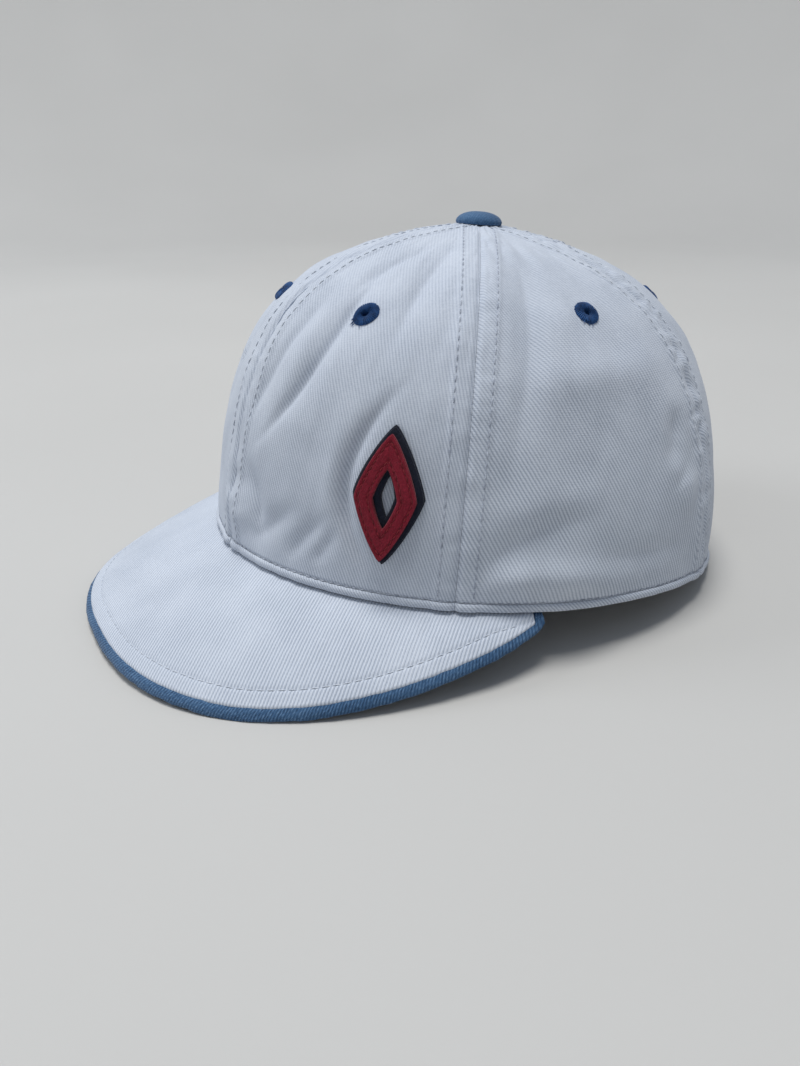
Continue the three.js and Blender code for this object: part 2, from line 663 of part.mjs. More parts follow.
function addStrap() {
  const sections = [];
  const near = HEM_CLOTH + GAP;
  for (let i = 0; i <= STRAP_STEPS; i += 1) {
    const turn = lerp(-STRAP_HALF_TURN, STRAP_HALF_TURN, i / STRAP_STEPS);
    const lap = 1 - THREE.MathUtils.smoothstep(Math.abs(turn), STRAP_LAP, STRAP_LAP + STRAP_LAP_EDGE);
    const front = near - STRAP_THICK * lap;
    const back = near + STRAP_THICK;
    const low = STRAP_LIFT;
    const high = STRAP_LIFT + STRAP_HEIGHT;
    sections.push([
      insideRim(180 + turn, low, front),
      insideRim(180 + turn, (low + high) / 2, front),
      insideRim(180 + turn, high, front),
      insideRim(180 + turn, high, back),
      insideRim(180 + turn, (low + high) / 2, back),
      insideRim(180 + turn, low, back),
    ]);
  }
  let solid = toSolid(loft(sections, false));
  STUD_TURNS.forEach((turn) => {
    const stud = new THREE.CylinderGeometry(STUD_RADIUS, STUD_RADIUS, STUD_HEIGHT + STUD_ROOT, STUD_SIDES);
    const place = insideRim(180 + turn, STRAP_LIFT + STRAP_HEIGHT / 2, near - STRAP_THICK);
    const normal = crownNormal(180 + turn, 0.05);
    stud.applyQuaternion(new THREE.Quaternion().setFromUnitVectors(vec(0, 1, 0), normal));
    stud.translate(...along(place, normal, (STUD_HEIGHT - STUD_ROOT) / 2).toArray());
    solid = solid.add(toSolid(stud));
  });
  addPiece('snap_strap', toGeometry(solid), COLORS.plastic);
}

function addSweatband() {
  const sections = [];
  for (let i = 0; i <= BAND_STEPS; i += 1) {
    const turn = lerp(-BAND_HALF_TURN, BAND_HALF_TURN, i / BAND_STEPS);
    const nearLow = HEM_CLOTH + BAND_CLEAR.low;
    const nearHigh = HEM_CLOTH + BAND_CLEAR.high;
    sections.push([
      insideRim(turn, BAND_FOOT, nearLow),
      insideRim(turn, BAND_HEIGHT, nearHigh),
      insideRim(turn, BAND_HEIGHT, nearHigh + BAND_THICK),
      insideRim(turn, BAND_FOOT, nearLow + BAND_THICK),
    ]);
  }
  addPiece('sweatband', loft(sections, false), COLORS.twill);
}

addPanelsAndEyelets();
addButton();
addPeak();
addPatch();
addStrap();
addSweatband();

// The cap leans back on its rim and stands on z = 0, with its box's centre over the origin.
cap.rotation.x = -radians(REST_TILT);
const part = new THREE.Group();
part.add(cap);
part.updateMatrixWorld(true);
const box = new THREE.Box3().setFromObject(part, true);
const middle = box.getCenter(vec(0, 0, 0));
cap.position.set(-middle.x, -middle.y, -box.min.z);
part.updateMatrixWorld(true);

export default part;
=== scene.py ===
"""The looks of a six-panel cotton twill cap with a curved peak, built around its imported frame.

Shapes are worked out in millimetres in the cap's own frame, where the wearer looks along -Y,
the wearer's left is +X and the sides of the rim lie at height 0. placed() turns and moves them
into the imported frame, in metres. A place on the crown has two numbers: turn, in degrees round
from the centre front towards the wearer's left, and rise, from 0 at the rim to 1 at the top.
"""
import math

import bpy
import numpy as np
from mathutils import Matrix, Vector


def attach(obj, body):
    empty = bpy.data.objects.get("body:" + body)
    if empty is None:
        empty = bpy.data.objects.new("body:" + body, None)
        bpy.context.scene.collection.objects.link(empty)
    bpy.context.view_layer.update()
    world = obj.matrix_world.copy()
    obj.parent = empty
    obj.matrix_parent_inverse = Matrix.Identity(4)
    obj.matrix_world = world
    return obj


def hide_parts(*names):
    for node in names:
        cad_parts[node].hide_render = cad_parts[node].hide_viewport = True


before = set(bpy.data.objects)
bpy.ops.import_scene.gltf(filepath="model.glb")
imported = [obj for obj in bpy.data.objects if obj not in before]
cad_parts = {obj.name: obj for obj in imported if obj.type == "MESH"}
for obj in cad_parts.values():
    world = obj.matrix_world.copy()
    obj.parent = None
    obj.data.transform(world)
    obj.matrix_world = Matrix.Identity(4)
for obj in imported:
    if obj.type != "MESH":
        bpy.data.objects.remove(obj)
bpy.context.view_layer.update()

# Rim and crown, as in the part's source
RIM_HALF_LENGTH = 95.4
RIM_HALF_WIDTH = 87.1
RIM_EGG = 0.06
RIM_FRONT_LIFT = 0.5
RIM_BACK_DROP = 9.2
CROWN_HEIGHT = 104.7
CROWN_TOP_Y = -5.3
CROWN_TOP_SLOPE = 6.9
PROFILE = {
    "front": {"wall": 66.4, "top": 78.1, "lean": -2.4},
    "side": {"wall": 65.4, "top": 58.2, "lean": -2.7},
    "back": {"wall": 96.1, "top": 67.2, "lean": -5.2},
}
PROFILE_BLEND = 1.3
CLOTH = 1.5
HEM_CLOTH = 2.2
GAP = 0.3
TOP_HOLE_RISE = 0.982
SIDE_SEAM = 56
BACK_SEAM = 116
SEAMS = (0, SIDE_SEAM, BACK_SEAM, 180, 360 - BACK_SEAM, 360 - SIDE_SEAM)
RIB_HALF_WIDTH = 6.5
RIB_HEIGHT = 0.5
ARCH_HALF_TURN = 32
ARCH_RISE = 0.205
REST_TILT = 5.13

# Folds, seams and hem, finer than in the part's source
SHARP_WIDTH = 1.5  # half width of a fold's sharp line
SEAM_VALLEY = 0.8
SEAM_VALLEY_WIDTH = 0.9
STITCH_ROW = 5.3  # distance of each stitch row from its seam
STITCH_DENT = 0.13
STITCH_DENT_WIDTH = 0.55
HEM_ROLL = 2.7  # width of the rolled hem
HEM_ROLL_HEIGHT = 0.7
HEM_STITCH = 3.0  # distance of the hem's stitch row from the edge
HEM_DENT = 0.35
HEM_DENT_WIDTH = 0.5
HEM_UNEVEN = 0.22  # unevenness of the roll, as a share of its height
HEM_WAVES = 0.16  # height of the soft waves above the roll, HEM_WAVES_UP from the edge
HEM_WAVES_UP = 4.5
HEM_WAVES_WIDTH = 3.0
BROAD_WAVES, FINE_WAVES = 0.35, 0.16  # heights of the cloth's soft unevenness
CRUMPLES, PUCKERS = 0.9, 0.45  # heights of the crumples and puckers beside the seams
CRUMPLED_WIDTH = 6.5
CRUMPLED_FRONT, CRUMPLED_BACK = 0.5, 1.15  # how strong they are there
SEAM_ROW_FOOT, SEAM_ROW_TOP = 4.0, 0.972  # seam rows run from this many mm up to this rise

# Folds of the crown: name; start, middle and end as (turn, rise); half width, height, and depth
# of a sharp line along the middle, in mm
FOLDS = [
    ("long crease", (23.2, 0.644), (20.2, 0.42), (10.8, 0.246), 4.2, -1.7, 1.15),
    ("long ridge", (16, 0.56), (14.5, 0.34), (8, 0.18), 4, 0.7, 0),
    ("front crease", (12, 0.6), (9.2, 0.43), (3.6, 0.26), 3.5, -0.8, 0.55),
    ("top crease", (42.2, 0.86), (39.6, 0.7), (38.2, 0.5), 4.5, -1.1, 0.55),
    ("upper crease", (31, 0.82), (24, 0.74), (20, 0.63), 4, -0.9, 0.5),
    ("patch crease", (39.5, 0.36), (33.3, 0.19), (38.5, 0.06), 3.6, -1.1, 1.3),
    ("patch ridge", (33, 0.34), (30.2, 0.2), (33, 0.08), 3.5, 0.6, 0),
    ("front puff", (1, 0.11), (3, 0.08), (5.5, 0.05), 7, 2.0, 0),
    ("pinch", (6.8, 0.165), (10.6, 0.11), (11.2, 0.07), 3, -1.2, 0.6),
    ("gather 1", (21.5, 0.12), (15.8, 0.08), (10.5, 0.045), 3.5, -1.2, 0.3),
    ("gather 2", (29.5, 0.118), (25, 0.078), (22, 0.04), 3, -1.0, 0.3),
    ("gather 3", (31.8, 0.1), (30, 0.07), (28, 0.045), 2.5, -0.7, 0.3),
    ("seam fold", (72.2, 0.76), (69, 0.54), (64.5, 0.25), 5, -1.8, 0.4),
    ("side hollow", (68, 0.27), (84, 0.27), (101, 0.29), 17, -1.5, 0),
    ("shoulder ridge", (67, 0.415), (86, 0.436), (108, 0.445), 6, 1.1, 0),
    ("pinch ridge", (62, 0.155), (71.8, 0.182), (82, 0.2), 6, 0.8, 0),
    ("pinch valley", (61, 0.06), (67.2, 0.12), (79, 0.155), 4.5, -1.2, 0.2),
    ("hem puff", (61, 0.046), (72, 0.058), (86, 0.044), 5.5, 2.6, 0),
    ("rear valley", (84.8, 0.082), (94, 0.078), (104, 0.076), 4, -0.9, 0.2),
    ("rear dent", (106, 0.325), (104.2, 0.275), (102.8, 0.23), 4.5, -1.6, 0.2),
    ("rear puff", (107, 0.2), (107.5, 0.17), (105.5, 0.13), 5.5, 1.4, 0),
    ("right crease", (332, 0.74), (340, 0.5), (345, 0.26), 6, -1.5, 0.5),
    ("right fold", (290, 0.72), (292, 0.5), (296, 0.22), 6, -1.5, 0.5),
    ("right puff", (300, 0.06), (288, 0.055), (276, 0.06), 7, 2.0, 0),
    ("right valley", (301, 0.12), (294, 0.14), (282, 0.165), 5, -1.2, 0.2),
    ("back fold", (150, 0.6), (146, 0.45), (140, 0.28), 7, -1.6, 0.4),
    ("nape fold", (208, 0.62), (213, 0.46), (221, 0.3), 7, -1.4, 0.4),
]

# Panels: name, first and last turn, the twill's lean from upright in degrees, its pitch in mm.
# Each has narrow columns in a strip beside its seams, given as a share of its width.
SEAM_STRIP, STRIP_COLUMNS, MIDDLE_COLUMNS, PANEL_ROWS = 0.09, 24, 90, 118
PANEL_GAP = 0.04
LOWER_ROUND = 0.9  # how far the cloth's rounded lower edge stands below the panel
PANELS = [
    ("front_left", 0, SIDE_SEAM, 26, 0.9),
    ("side_left", SIDE_SEAM, BACK_SEAM, 29, 1.08),
    ("back_left", BACK_SEAM, 180, 40, 1.0),
    ("back_right", 180, 360 - BACK_SEAM, 14, 1.0),
    ("side_right", 360 - BACK_SEAM, 360 - SIDE_SEAM, 36, 1.0),
    ("front_right", 360 - SIDE_SEAM, 360, 30, 0.95),
]
EYELETS = {
    "front_left": (28, 0.56), "side_left": (88, 0.59), "back_left": (149, 0.57),
    "front_right": (332, 0.56), "side_right": (272, 0.59), "back_right": (211, 0.57),
}
EYELET_CUT = 2.6  # radius of the hole through the cloth
# Section of an eyelet, from the hole's inner foot over the top to the back: radius, height
EYELET_SECTION = np.array([
    [1.25, -2.3], [1.15, -1.0], [1.15, 0.3], [1.6, 0.85], [2.4, 1.05], [3.35, 0.9], [3.95, 0.45],
    [4.15, 0.05], [3.8, -0.05], [2.1, -0.1], [2.1, -1.75], [3.3, -1.8], [3.4, -2.1], [3.0, -2.4],
])
EYELET_THREADS = 38
EYELET_RAGGED = 0.28  # how far a thread's outer end strays
EYELET_RIDGE = 0.4  # height of a thread over the gap beside it
EYELET_ENDS = {"front_left": 7, "side_left": 8, "side_right": 5, "back_right": 6}  # thread ends

# Loose thread ends on the right front panel: a place, then three places in mm to its right,
# up and out
LOOSE_ENDS = [
    ((-15.5, 0.362), ((0, 0, 0.1), (-0.8, 0.6, 1.4), (-1.2, 2.2, 1.6))),
    ((-16.5, 0.366), ((0, 0, 0.1), (0.3, -0.9, 1.5), (-0.9, -1.2, 2.4))),
    ((-18.5, 0.376), ((0, 0, 0.1), (-0.5, 1.0, 1.2), (0.8, 1.9, 1.9))),
    ((-18.0, 0.372), ((0, 0, 0.1), (0.5, 0.2, 1.0), (0.4, 1.4, 2.2))),
]

# Button
BUTTON_RADIUS = 7.8
BUTTON_HEIGHT = 4.1
BUTTON_BELLY = 0.7  # height of the dome's foot over the underside
BUTTON_LIFT = 0.9
BUTTON_SEAT = 7.0  # radius at which the crown's slope is taken for the button's edge
BUTTON_SIDES = 128
BUTTON_GATHERS = 19
STEM_LENGTH = 4.0

# Peak
PEAK_END = 74.9
PEAK_REACH = 45.5
PEAK_DROP = 21.8
PEAK_WIDER = 3.4
PEAK_POWER = 2.41
PEAK_RISE_START = 0.83
PEAK_RISE_POWER = 1.41
PEAK_CROWNING = 2.2
PEAK_TUCK = 1.6
PEAK_TOP_CLOTH = 1.2
PEAK_THICKNESS = 3.6
PEAK_LIP = 1.7  # width of the blue edge
PEAK_SPAN = 0.965
PEAK_STITCH = (5.2, 6.8)  # distance of the stitch row from the edge, right and left
LIP_LOW = 0.55  # how far the blue edge's upper side lies below the peak's surface
TIP_ROWS = 5  # rows at each end of the peak where the blue cloth alone wraps round
PEAK_COUNT = 420  # sections along the edge
PEAK_WAVES, PEAK_FINE_WAVES = 0.12, 0.05
PEAK_DENT, PEAK_DENT_WIDTH = 0.28, 0.7
PEAK_TWILL_LEAN = 39
LOWER_TWILL_LEAN = 50

# Felt patch
PATCH_TURN = 42.2
PATCH_RISE = 0.182
PATCH_BASE = {"size": (21.0, 40.5), "open": (4.0, 12.0), "low": 0.1, "high": 1.65}
PATCH_TOP = {"size": (17.8, 36.6), "open": (7.0, 17.0), "low": 1.7, "high": 3.4}
PATCH_TOP_SHIFT = (-0.5, -0.7)
PATCH_ROUND = 1.22
PATCH_ROWS = (0.25, 0.77)  # stitch rows, from the opening's edge to the outer edge
PATCH_SIDES = 240
FELT_BEVEL = 0.35
FELT_DENT, FELT_DENT_WIDTH = 0.28, 0.045  # depth in mm, width as a share of the ring's

# Stitches: length, gap and the thread's radius
STITCHES = {
    "felt": (1.5, 0.5, 0.17), "side_seam": (2.2, 0.7, 0.22), "seam": (2.2, 0.7, 0.21),
    "hem": (1.5, 1.1, 0.24), "peak": (2.4, 0.6, 0.17), "lower_peak": (2.4, 0.8, 0.22),
}
LOOSE_END_RADIUS, EYELET_END_RADIUS = 0.11, 0.13

# Strap and sweatband
STRAP_HALF_TURN = 38.5
STRAP_HEIGHT = 18.0
STRAP_LIFT = 4.6
STRAP_THICK = 1.4
STRAP_LAP = 13.5
STUD_RADIUS = 2.1
STUD_HEIGHT = 0.9
STUD_TURNS = (-11, -5.5, 0, 5.5, 11)
BAND_HEIGHT = 30
BAND_HALF_TURN = 139
BAND_THICK = 1.4
BAND_LOW, BAND_HIGH = 0.6, 3.2  # distance from the hem's cloth at its lower and upper edge

# Tones from dark to light, as linear colours
GREYS = ((0.33, 0.375, 0.455), (0.495, 0.54, 0.625), (0.64, 0.685, 0.755))
BLUES = ((0.014, 0.04, 0.095), (0.045, 0.11, 0.22), (0.15, 0.255, 0.41))
NAVY_FELT_TONES = ((0.004, 0.006, 0.014), (0.014, 0.02, 0.04))
RED_FELT_TONES = ((0.13, 0.004, 0.013), (0.29, 0.013, 0.034))
RED_THREAD_TONES = ((0.12, 0.006, 0.012), (0.26, 0.015, 0.025))
EYELET_TONES = ((0.005, 0.028, 0.095), (0.02, 0.085, 0.25))
GREY_THREAD_TONES = ((0.25, 0.28, 0.35), (0.52, 0.56, 0.64))
PALE_THREAD_TONES = ((0.42, 0.46, 0.53), (0.64, 0.68, 0.75))
STRAP_TONES = ((0.03, 0.085, 0.19), (0.04, 0.11, 0.24))
FLOOR_TONES = ((0.487, 0.482, 0.47), (0.507, 0.502, 0.49))
SKY_COLOUR, SKY_STRENGTH = (0.66, 0.79, 1.0, 1), 0.37

# Floor, in metres: a flat middle, then a curve up to the floor's end
FLOOR_FLAT, FLOOR_END, FLOOR_CURVE_END = 1.2, 3.6, 4.2
FLOOR_RISE, FLOOR_POWER, FLOOR_SIDES = 3.4, 1.2, 96

# Lights: name, place, diameter, watts and colour, in metres
LIGHTS = [
    ("overhead", (-0.2, -0.15, 3.0), 1.3, 74, (1.0, 0.985, 0.95)),
    ("left", (-1.0, -1.3, 1.2), 0.9, 8.5, (0.92, 0.96, 1.0)),
]

# Camera, in the cap's own frame
LOOK_AT = (0, 0, 55)
CAMERA_AZIMUTH, CAMERA_ELEVATION, CAMERA_DISTANCE = 52.36, 10.48, 301.58
CAMERA_YAW, CAMERA_PITCH, CAMERA_ROLL = 4.41, -12.02, -4.73
FOCAL_SHARE = 799 / 1066  # focal length as a part of the picture's height
SENSOR = 36.0


def vec(x, y, z):
    return np.stack(np.broadcast_arrays(x, y, z), axis=-1).astype(float)


def unit(v):
    return v / np.maximum(np.linalg.norm(v, axis=-1, keepdims=True), 1e-12)


def smoothstep(x, low, high):
    t = np.clip((x - low) / (high - low), 0, 1)
    return t * t * (3 - 2 * t)


def mix(a, b, t):
    return a + (b - a) * t


def bell(distance, width):
    """1 on a line, falling away smoothly on both sides."""
    return np.exp(-(distance / width) ** 2)


def lengths_along(line):
    """How far along a line of points each of them lies."""
    steps = np.linalg.norm(np.diff(line, axis=0), axis=-1)
    return np.concatenate([[0], np.cumsum(steps)])


def places_along(line, lengths, where):
    """Points or normals of a line at the given lengths."""
    return np.stack([np.interp(where, lengths, line[:, k]) for k in range(3)], -1)


def soft_noise(x, y, seed):
    """Smooth noise from -1 to 1: random heights on a grid of whole numbers, eased between."""
    table = np.random.default_rng(seed).uniform(-1, 1, (64, 64))
    x, y = np.broadcast_arrays(np.asarray(x, float), np.asarray(y, float))
    i, j = np.floor(x).astype(int), np.floor(y).astype(int)
    u, v = smoothstep(x - i, 0, 1), smoothstep(y - j, 0, 1)
    i, j, k, m = i % 64, j % 64, (i + 1) % 64, (j + 1) % 64
    return mix(mix(table[i, j], table[k, j], u), mix(table[i, m], table[k, m], u), v)


def around(turn, key):
    """A value that runs smoothly from the front's over the side's to the back's."""
    c = np.cos(np.radians(turn))
    end = np.where(c > 0, PROFILE["front"][key], PROFILE["back"][key])
    return mix(PROFILE["side"][key], end, np.abs(c) ** PROFILE_BLEND)


def rim(turn):
    """An egg-shaped oval that lifts a little at the front and drops at the back."""
    s, c = np.sin(np.radians(turn)), np.cos(np.radians(turn))
    lift = RIM_FRONT_LIFT * np.maximum(c, 0) ** 1.5
    drop = RIM_BACK_DROP * np.maximum(-c, 0) ** 1.5
    return vec(RIM_HALF_WIDTH * s * (1 - RIM_EGG * c), -RIM_HALF_LENGTH * c, lift - drop)


def crown(turn, rise):
    """At each turn a cubic curve through the rim and the top, pulled up the wall and outwards."""
    turn, rise = np.broadcast_arrays(np.asarray(turn, float), np.asarray(rise, float))
    foot = rim(turn)
    top = np.array([0.0, CROWN_TOP_Y, CROWN_HEIGHT])
    out = unit((foot - top) * (1, 1, 0))
    lean = np.radians(around(turn, "lean"))[..., None]
    wall, flat = around(turn, "wall")[..., None], around(turn, "top")[..., None]
    slope = math.radians(CROWN_TOP_SLOPE)
    up = np.array([0.0, 0.0, 1.0])
    low = foot + wall * (out * np.sin(lean) + up * np.cos(lean))
    high = top + flat * (out * math.cos(slope) - up * math.sin(slope))
    t = rise[..., None]
    return foot * (1 - t) ** 3 + 3 * low * t * (1 - t) ** 2 + 3 * high * t ** 2 * (1 - t) + top * t ** 3


def crown_normal(turn, rise):
    tiny = 0.002
    up = crown(turn, np.minimum(rise + tiny, 1)) - crown(turn, rise - tiny)
    held = np.minimum(rise, 0.995)
    return unit(np.cross(crown(turn + 0.2, held) - crown(turn - 0.2, held), up))


def turn_scale(turn, rise):
    """Millimetres along the crown for one degree of turn."""
    held = np.minimum(rise, 0.99)
    return np.linalg.norm(crown(turn + 0.5, held) - crown(turn - 0.5, held), axis=-1)


def rise_scale(turn, rise):
    """Millimetres along the crown for one unit of rise."""
    return np.linalg.norm(crown(turn, rise + 0.005) - crown(turn, rise - 0.005), axis=-1) / 0.01


def nearest_on_line(points, line):
    """Shortest distance from each point to a line made of straight pieces, and how far along the
    line that nearest place is, from 0 to 1."""
    start, span = line[:-1], np.diff(line, axis=0)
    away = points.reshape(-1, 1, 3) - start
    t = np.clip((away * span).sum(-1) / (span * span).sum(-1), 0, 1)
    distance = np.linalg.norm(away - t[..., None] * span, axis=-1)
    piece = distance.argmin(axis=1)
    every = np.arange(len(piece))
    share = (piece + t[every, piece]) / len(start)
    return distance[every, piece].reshape(points.shape[:-1]), share.reshape(points.shape[:-1])


def fold_line(start, middle, end):
    """A curve through three places on the crown, quadratic in turn and rise, that runs on a
    little past the first and the last."""
    t = np.linspace(-0.22, 1.22, 17)[:, None]
    places = [np.array(p, float) for p in (start, middle, end)]
    weights = ((1 - t) * (1 - 2 * t), 4 * t * (1 - t), t * (2 * t - 1))
    turn, rise = sum(w * p for w, p in zip(weights, places)).T
    return crown(turn, rise)


def lower_edge(turn):
    """Rise of the cloth's lower edge: the rim, and the arch over the opening at the back."""
    from_back = np.abs(np.asarray(turn, float) - 180) / ARCH_HALF_TURN
    return ARCH_RISE * np.sqrt(np.maximum(1 - from_back ** 2, 0))


def edge_turns():
    """Turns all round, from the centre front, closer together where the arch is steep."""
    arch = 180 + ARCH_HALF_TURN * np.sin(np.linspace(-np.pi / 2, np.pi / 2, 90))
    front = np.linspace(0, 180 - ARCH_HALF_TURN, 150, endpoint=False)
    return np.concatenate([front, arch, 360 - front[:0:-1], [360]])


FOLD_LINES = [fold_line(*fold[1:4]) for fold in FOLDS]
EDGE_LINE = crown(edge_turns(), lower_edge(edge_turns()))


def seam_distance(turn, rise):
    """Distance to the nearest seam, and where the stitch row beside it lies, in mm."""
    per_turn = turn_scale(turn, rise)
    from_seam = np.min([np.abs((turn - seam + 540) % 360 - 180) for seam in SEAMS], axis=0)
    row = np.minimum(STITCH_ROW, np.maximum(28 * per_turn - 0.5, 0.4))
    return from_seam * per_turn, row


def edge_distance(turn, rise, bare):
    """Distance to the cloth's lower edge, worked out where it is under about 20 mm."""
    distance = np.full(np.shape(rise), 99.0)
    near = (rise - lower_edge(turn)) * rise_scale(turn, rise) < 20
    distance[near] = nearest_on_line(bare[near], EDGE_LINE)[0]
    return distance


def relief(turn, rise, bare):
    """Height of the folded cloth over the bare crown: the folds, which fade out near the rim and
    the top, soft waves, crumples beside the seams, the seams' flat ribs with a narrow valley and
    stitch dents, and the rolled hem. Each fold and dent is a bell across its line."""
    height = np.zeros(np.shape(rise))
    for (*_, width, tall, sharp), line in zip(FOLDS, FOLD_LINES):
        away, share = nearest_on_line(bare, line)
        taper = smoothstep(share, 0, 0.4) * (1 - smoothstep(share, 0.6, 1))
        height += taper * (tall * bell(away, width) - sharp * bell(away, SHARP_WIDTH))
    height *= smoothstep(rise, 0, 0.035) * (1 - smoothstep(rise, 0.8, 0.93))
    from_seam, row = seam_distance(turn, rise)
    from_edge = edge_distance(turn, rise, bare)
    upper = smoothstep(from_edge, 2, 9) * (1 - smoothstep(rise, 0.8, 0.95))
    height += BROAD_WAVES * upper * soft_noise(turn / 6, rise * 9, 3)
    height += FINE_WAVES * upper * soft_noise(turn / 2.4 + rise * 8, rise * 17 - turn / 9, 5)
    crumple = np.abs(soft_noise(turn * 0.25 + rise * 4, rise * 31, 8)) - 0.3
    pucker = CRUMPLES * crumple + PUCKERS * soft_noise(turn * 0.2, rise * 58, 9)
    strength = mix(CRUMPLED_FRONT, CRUMPLED_BACK, smoothstep(np.abs(turn - 180), 95, 60))
    height += strength * smoothstep(from_edge, 2, 7) * pucker * bell(from_seam, CRUMPLED_WIDTH)
    height += RIB_HEIGHT * (1 - smoothstep(from_seam, RIB_HALF_WIDTH - 0.9, RIB_HALF_WIDTH + 0.5))
    valley = SEAM_VALLEY * (1 - 0.8 * smoothstep(rise, 0.86, 0.94))
    height -= valley * bell(from_seam, SEAM_VALLEY_WIDTH)
    height -= STITCH_DENT * bell(from_seam - row, STITCH_DENT_WIDTH)
    half = HEM_ROLL / 2
    roll = HEM_ROLL_HEIGHT * (1 + HEM_UNEVEN * soft_noise(turn / 2.2, 0, 11))
    height += roll * np.sqrt(np.maximum(1 - ((from_edge - half) / half) ** 2, 0))
    waves = HEM_WAVES * soft_noise(turn / 3.1, 0.5, 12)
    height += waves * bell(from_edge - HEM_WAVES_UP, HEM_WAVES_WIDTH)
    height -= HEM_DENT * bell(from_edge - HEM_STITCH, HEM_DENT_WIDTH)
    return height


def cloth_point(turn, rise, proud=0.0):
    """A place on the folded cloth, or proud of it, and the bare crown's normal there."""
    turn, rise = np.broadcast_arrays(np.asarray(turn, float), np.asarray(rise, float))
    bare, normal = crown(turn, rise), crown_normal(turn, rise)
    return bare + normal * (relief(turn, rise, bare) + proud)[..., None], normal


def step(turn, rise, right, up):
    """The turn and rise of a place some millimetres to the right of and above another."""
    half_way = rise + up / 2 / rise_scale(turn, rise)
    new_rise = rise + up / rise_scale(turn, half_way)
    return turn + right / turn_scale(turn, new_rise), new_rise


def rest_offset():
    """The move from the turned cap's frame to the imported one, in mm. The button stands upright
    in the cap's frame, so its box, turned back, shows where the crown's top lies."""
    places = np.array([v.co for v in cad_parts["button"].data.vertices]) * 1000 @ REST_TURN
    here = vec((places[:, 0].min() + places[:, 0].max()) / 2,
               (places[:, 1].min() + places[:, 1].max()) / 2, places[:, 2].min())
    there = vec(0, CROWN_TOP_Y, CROWN_HEIGHT + BUTTON_LIFT - STEM_LENGTH)
    return (here - there) @ REST_TURN.T


TILT = math.radians(-REST_TILT)
REST_TURN = np.array([[1, 0, 0],
                      [0, math.cos(TILT), -math.sin(TILT)],
                      [0, math.sin(TILT), math.cos(TILT)]])
REST_OFFSET = rest_offset()


def placed(points):
    """From the cap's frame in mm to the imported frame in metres."""
    return (points @ REST_TURN.T + REST_OFFSET) / 1000


# Meshes

def make_piece(name, points, faces, material, node=None, cloth=None, angle=50):
    """A mesh object from points in mm and faces, facing out, riding on the cap's one body."""
    points = np.asarray(points, float).reshape(-1, 3)
    quads = np.concatenate([f for f in faces if f.shape[1] == 4])
    others = [f for f in faces if f.shape[1] != 4]
    a, b, c, d = (points[quads[:, k]] for k in range(4))
    volume = (a * np.cross(b, c)).sum() + (a * np.cross(c, d)).sum()
    every = [f[:, ::-1] if volume < 0 else f for f in [quads, *others]]
    used = np.unique(np.concatenate([f.ravel() for f in every]))
    renumber = np.zeros(len(points), int)
    renumber[used] = np.arange(len(used))
    mesh = bpy.data.meshes.new(name)
    mesh.from_pydata(placed(points[used]), [], [row for f in every for row in renumber[f].tolist()])
    if cloth is not None:
        made = mesh.attributes.new("cloth", "FLOAT_VECTOR", "POINT")
        made.data.foreach_set("vector", np.asarray(cloth, np.float32).reshape(-1, 3)[used].ravel())
    mesh.polygons.foreach_set("use_smooth", np.ones(len(mesh.polygons), bool))
    mesh.set_sharp_from_angle(angle=math.radians(angle))
    mesh.update()
    mesh.materials.append(material)
    piece = bpy.data.objects.new(name, mesh)
    bpy.context.scene.collection.objects.link(piece)
    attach(piece, "root")
    if node:
        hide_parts(node)
    return piece


def grid_faces(index):
    """Quads between neighbouring entries of a grid of point numbers."""
    return np.stack([index[:-1, :-1], index[:-1, 1:], index[1:, 1:], index[1:, :-1]], -1).reshape(-1, 4)


def wrap(index, axis):
    """The grid of point numbers with its first line again at the end, so that it closes."""
    return np.concatenate([index, np.take(index, [0], axis=axis)], axis=axis)


def wall_faces(rows, columns, keep):
    """Faces of a wall with an outer and an inner grid. keep marks the cells that exist, and each
    edge between a cell that exists and one that doesn't is closed across the wall."""
    outer = np.arange(rows * columns).reshape(rows, columns)
    inner = outer + rows * columns
    cells = np.stack([outer[:-1, :-1], outer[:-1, 1:], outer[1:, 1:], outer[1:, :-1]], -1)[keep]
    faces = [cells, cells[:, ::-1] + rows * columns]
    ringed = np.pad(keep, 1)
    for axis in (0, 1):
        grid, under, cell = (outer, inner, ringed) if axis == 0 else (outer.T, inner.T, ringed.T)
        before, after = cell[:-1, 1:-1], cell[1:, 1:-1]
        a, b, c, d = grid[:, :-1], grid[:, 1:], under[:, 1:], under[:, :-1]
        forward = np.stack([b, a, d, c], -1)
        back = np.stack([a, b, c, d], -1)
        if axis == 1:
            forward, back = back, forward
        faces += [forward[after & ~before], back[before & ~after]]
    return faces


def tube_faces(rings, sides, count=1, closed=False):
    """Faces of count tubes of rings by sides points, each with its two ends closed."""
    index = np.arange(count * rings * sides).reshape(count, rings, sides)
    ring = wrap(index, 2)
    along = wrap(ring, 1) if closed else ring
    faces = [np.stack([along[:, :-1, :-1], along[:, :-1, 1:], along[:, 1:, 1:], along[:, 1:, :-1]],
                      -1).reshape(-1, 4)]
    if not closed:
        faces += [index[:, 0, ::-1], index[:, -1, :]]
    return faces


# Materials

def new_material(name):
    material = bpy.data.materials.new(name)
    material.use_nodes = True
    tree = material.node_tree
    return material, tree, tree.nodes["Principled BSDF"]


def add(tree, kind, inputs=(), **settings):
    """A node with its settings and inputs, given as pairs of socket and value or output."""
    made = tree.nodes.new("ShaderNode" + kind)
    for key, value in settings.items():
        setattr(made, key, value)
    for socket, value in inputs:
        if isinstance(value, bpy.types.NodeSocket):
            tree.links.new(value, made.inputs[socket])
        else:
            made.inputs[socket].default_value = value
    return made


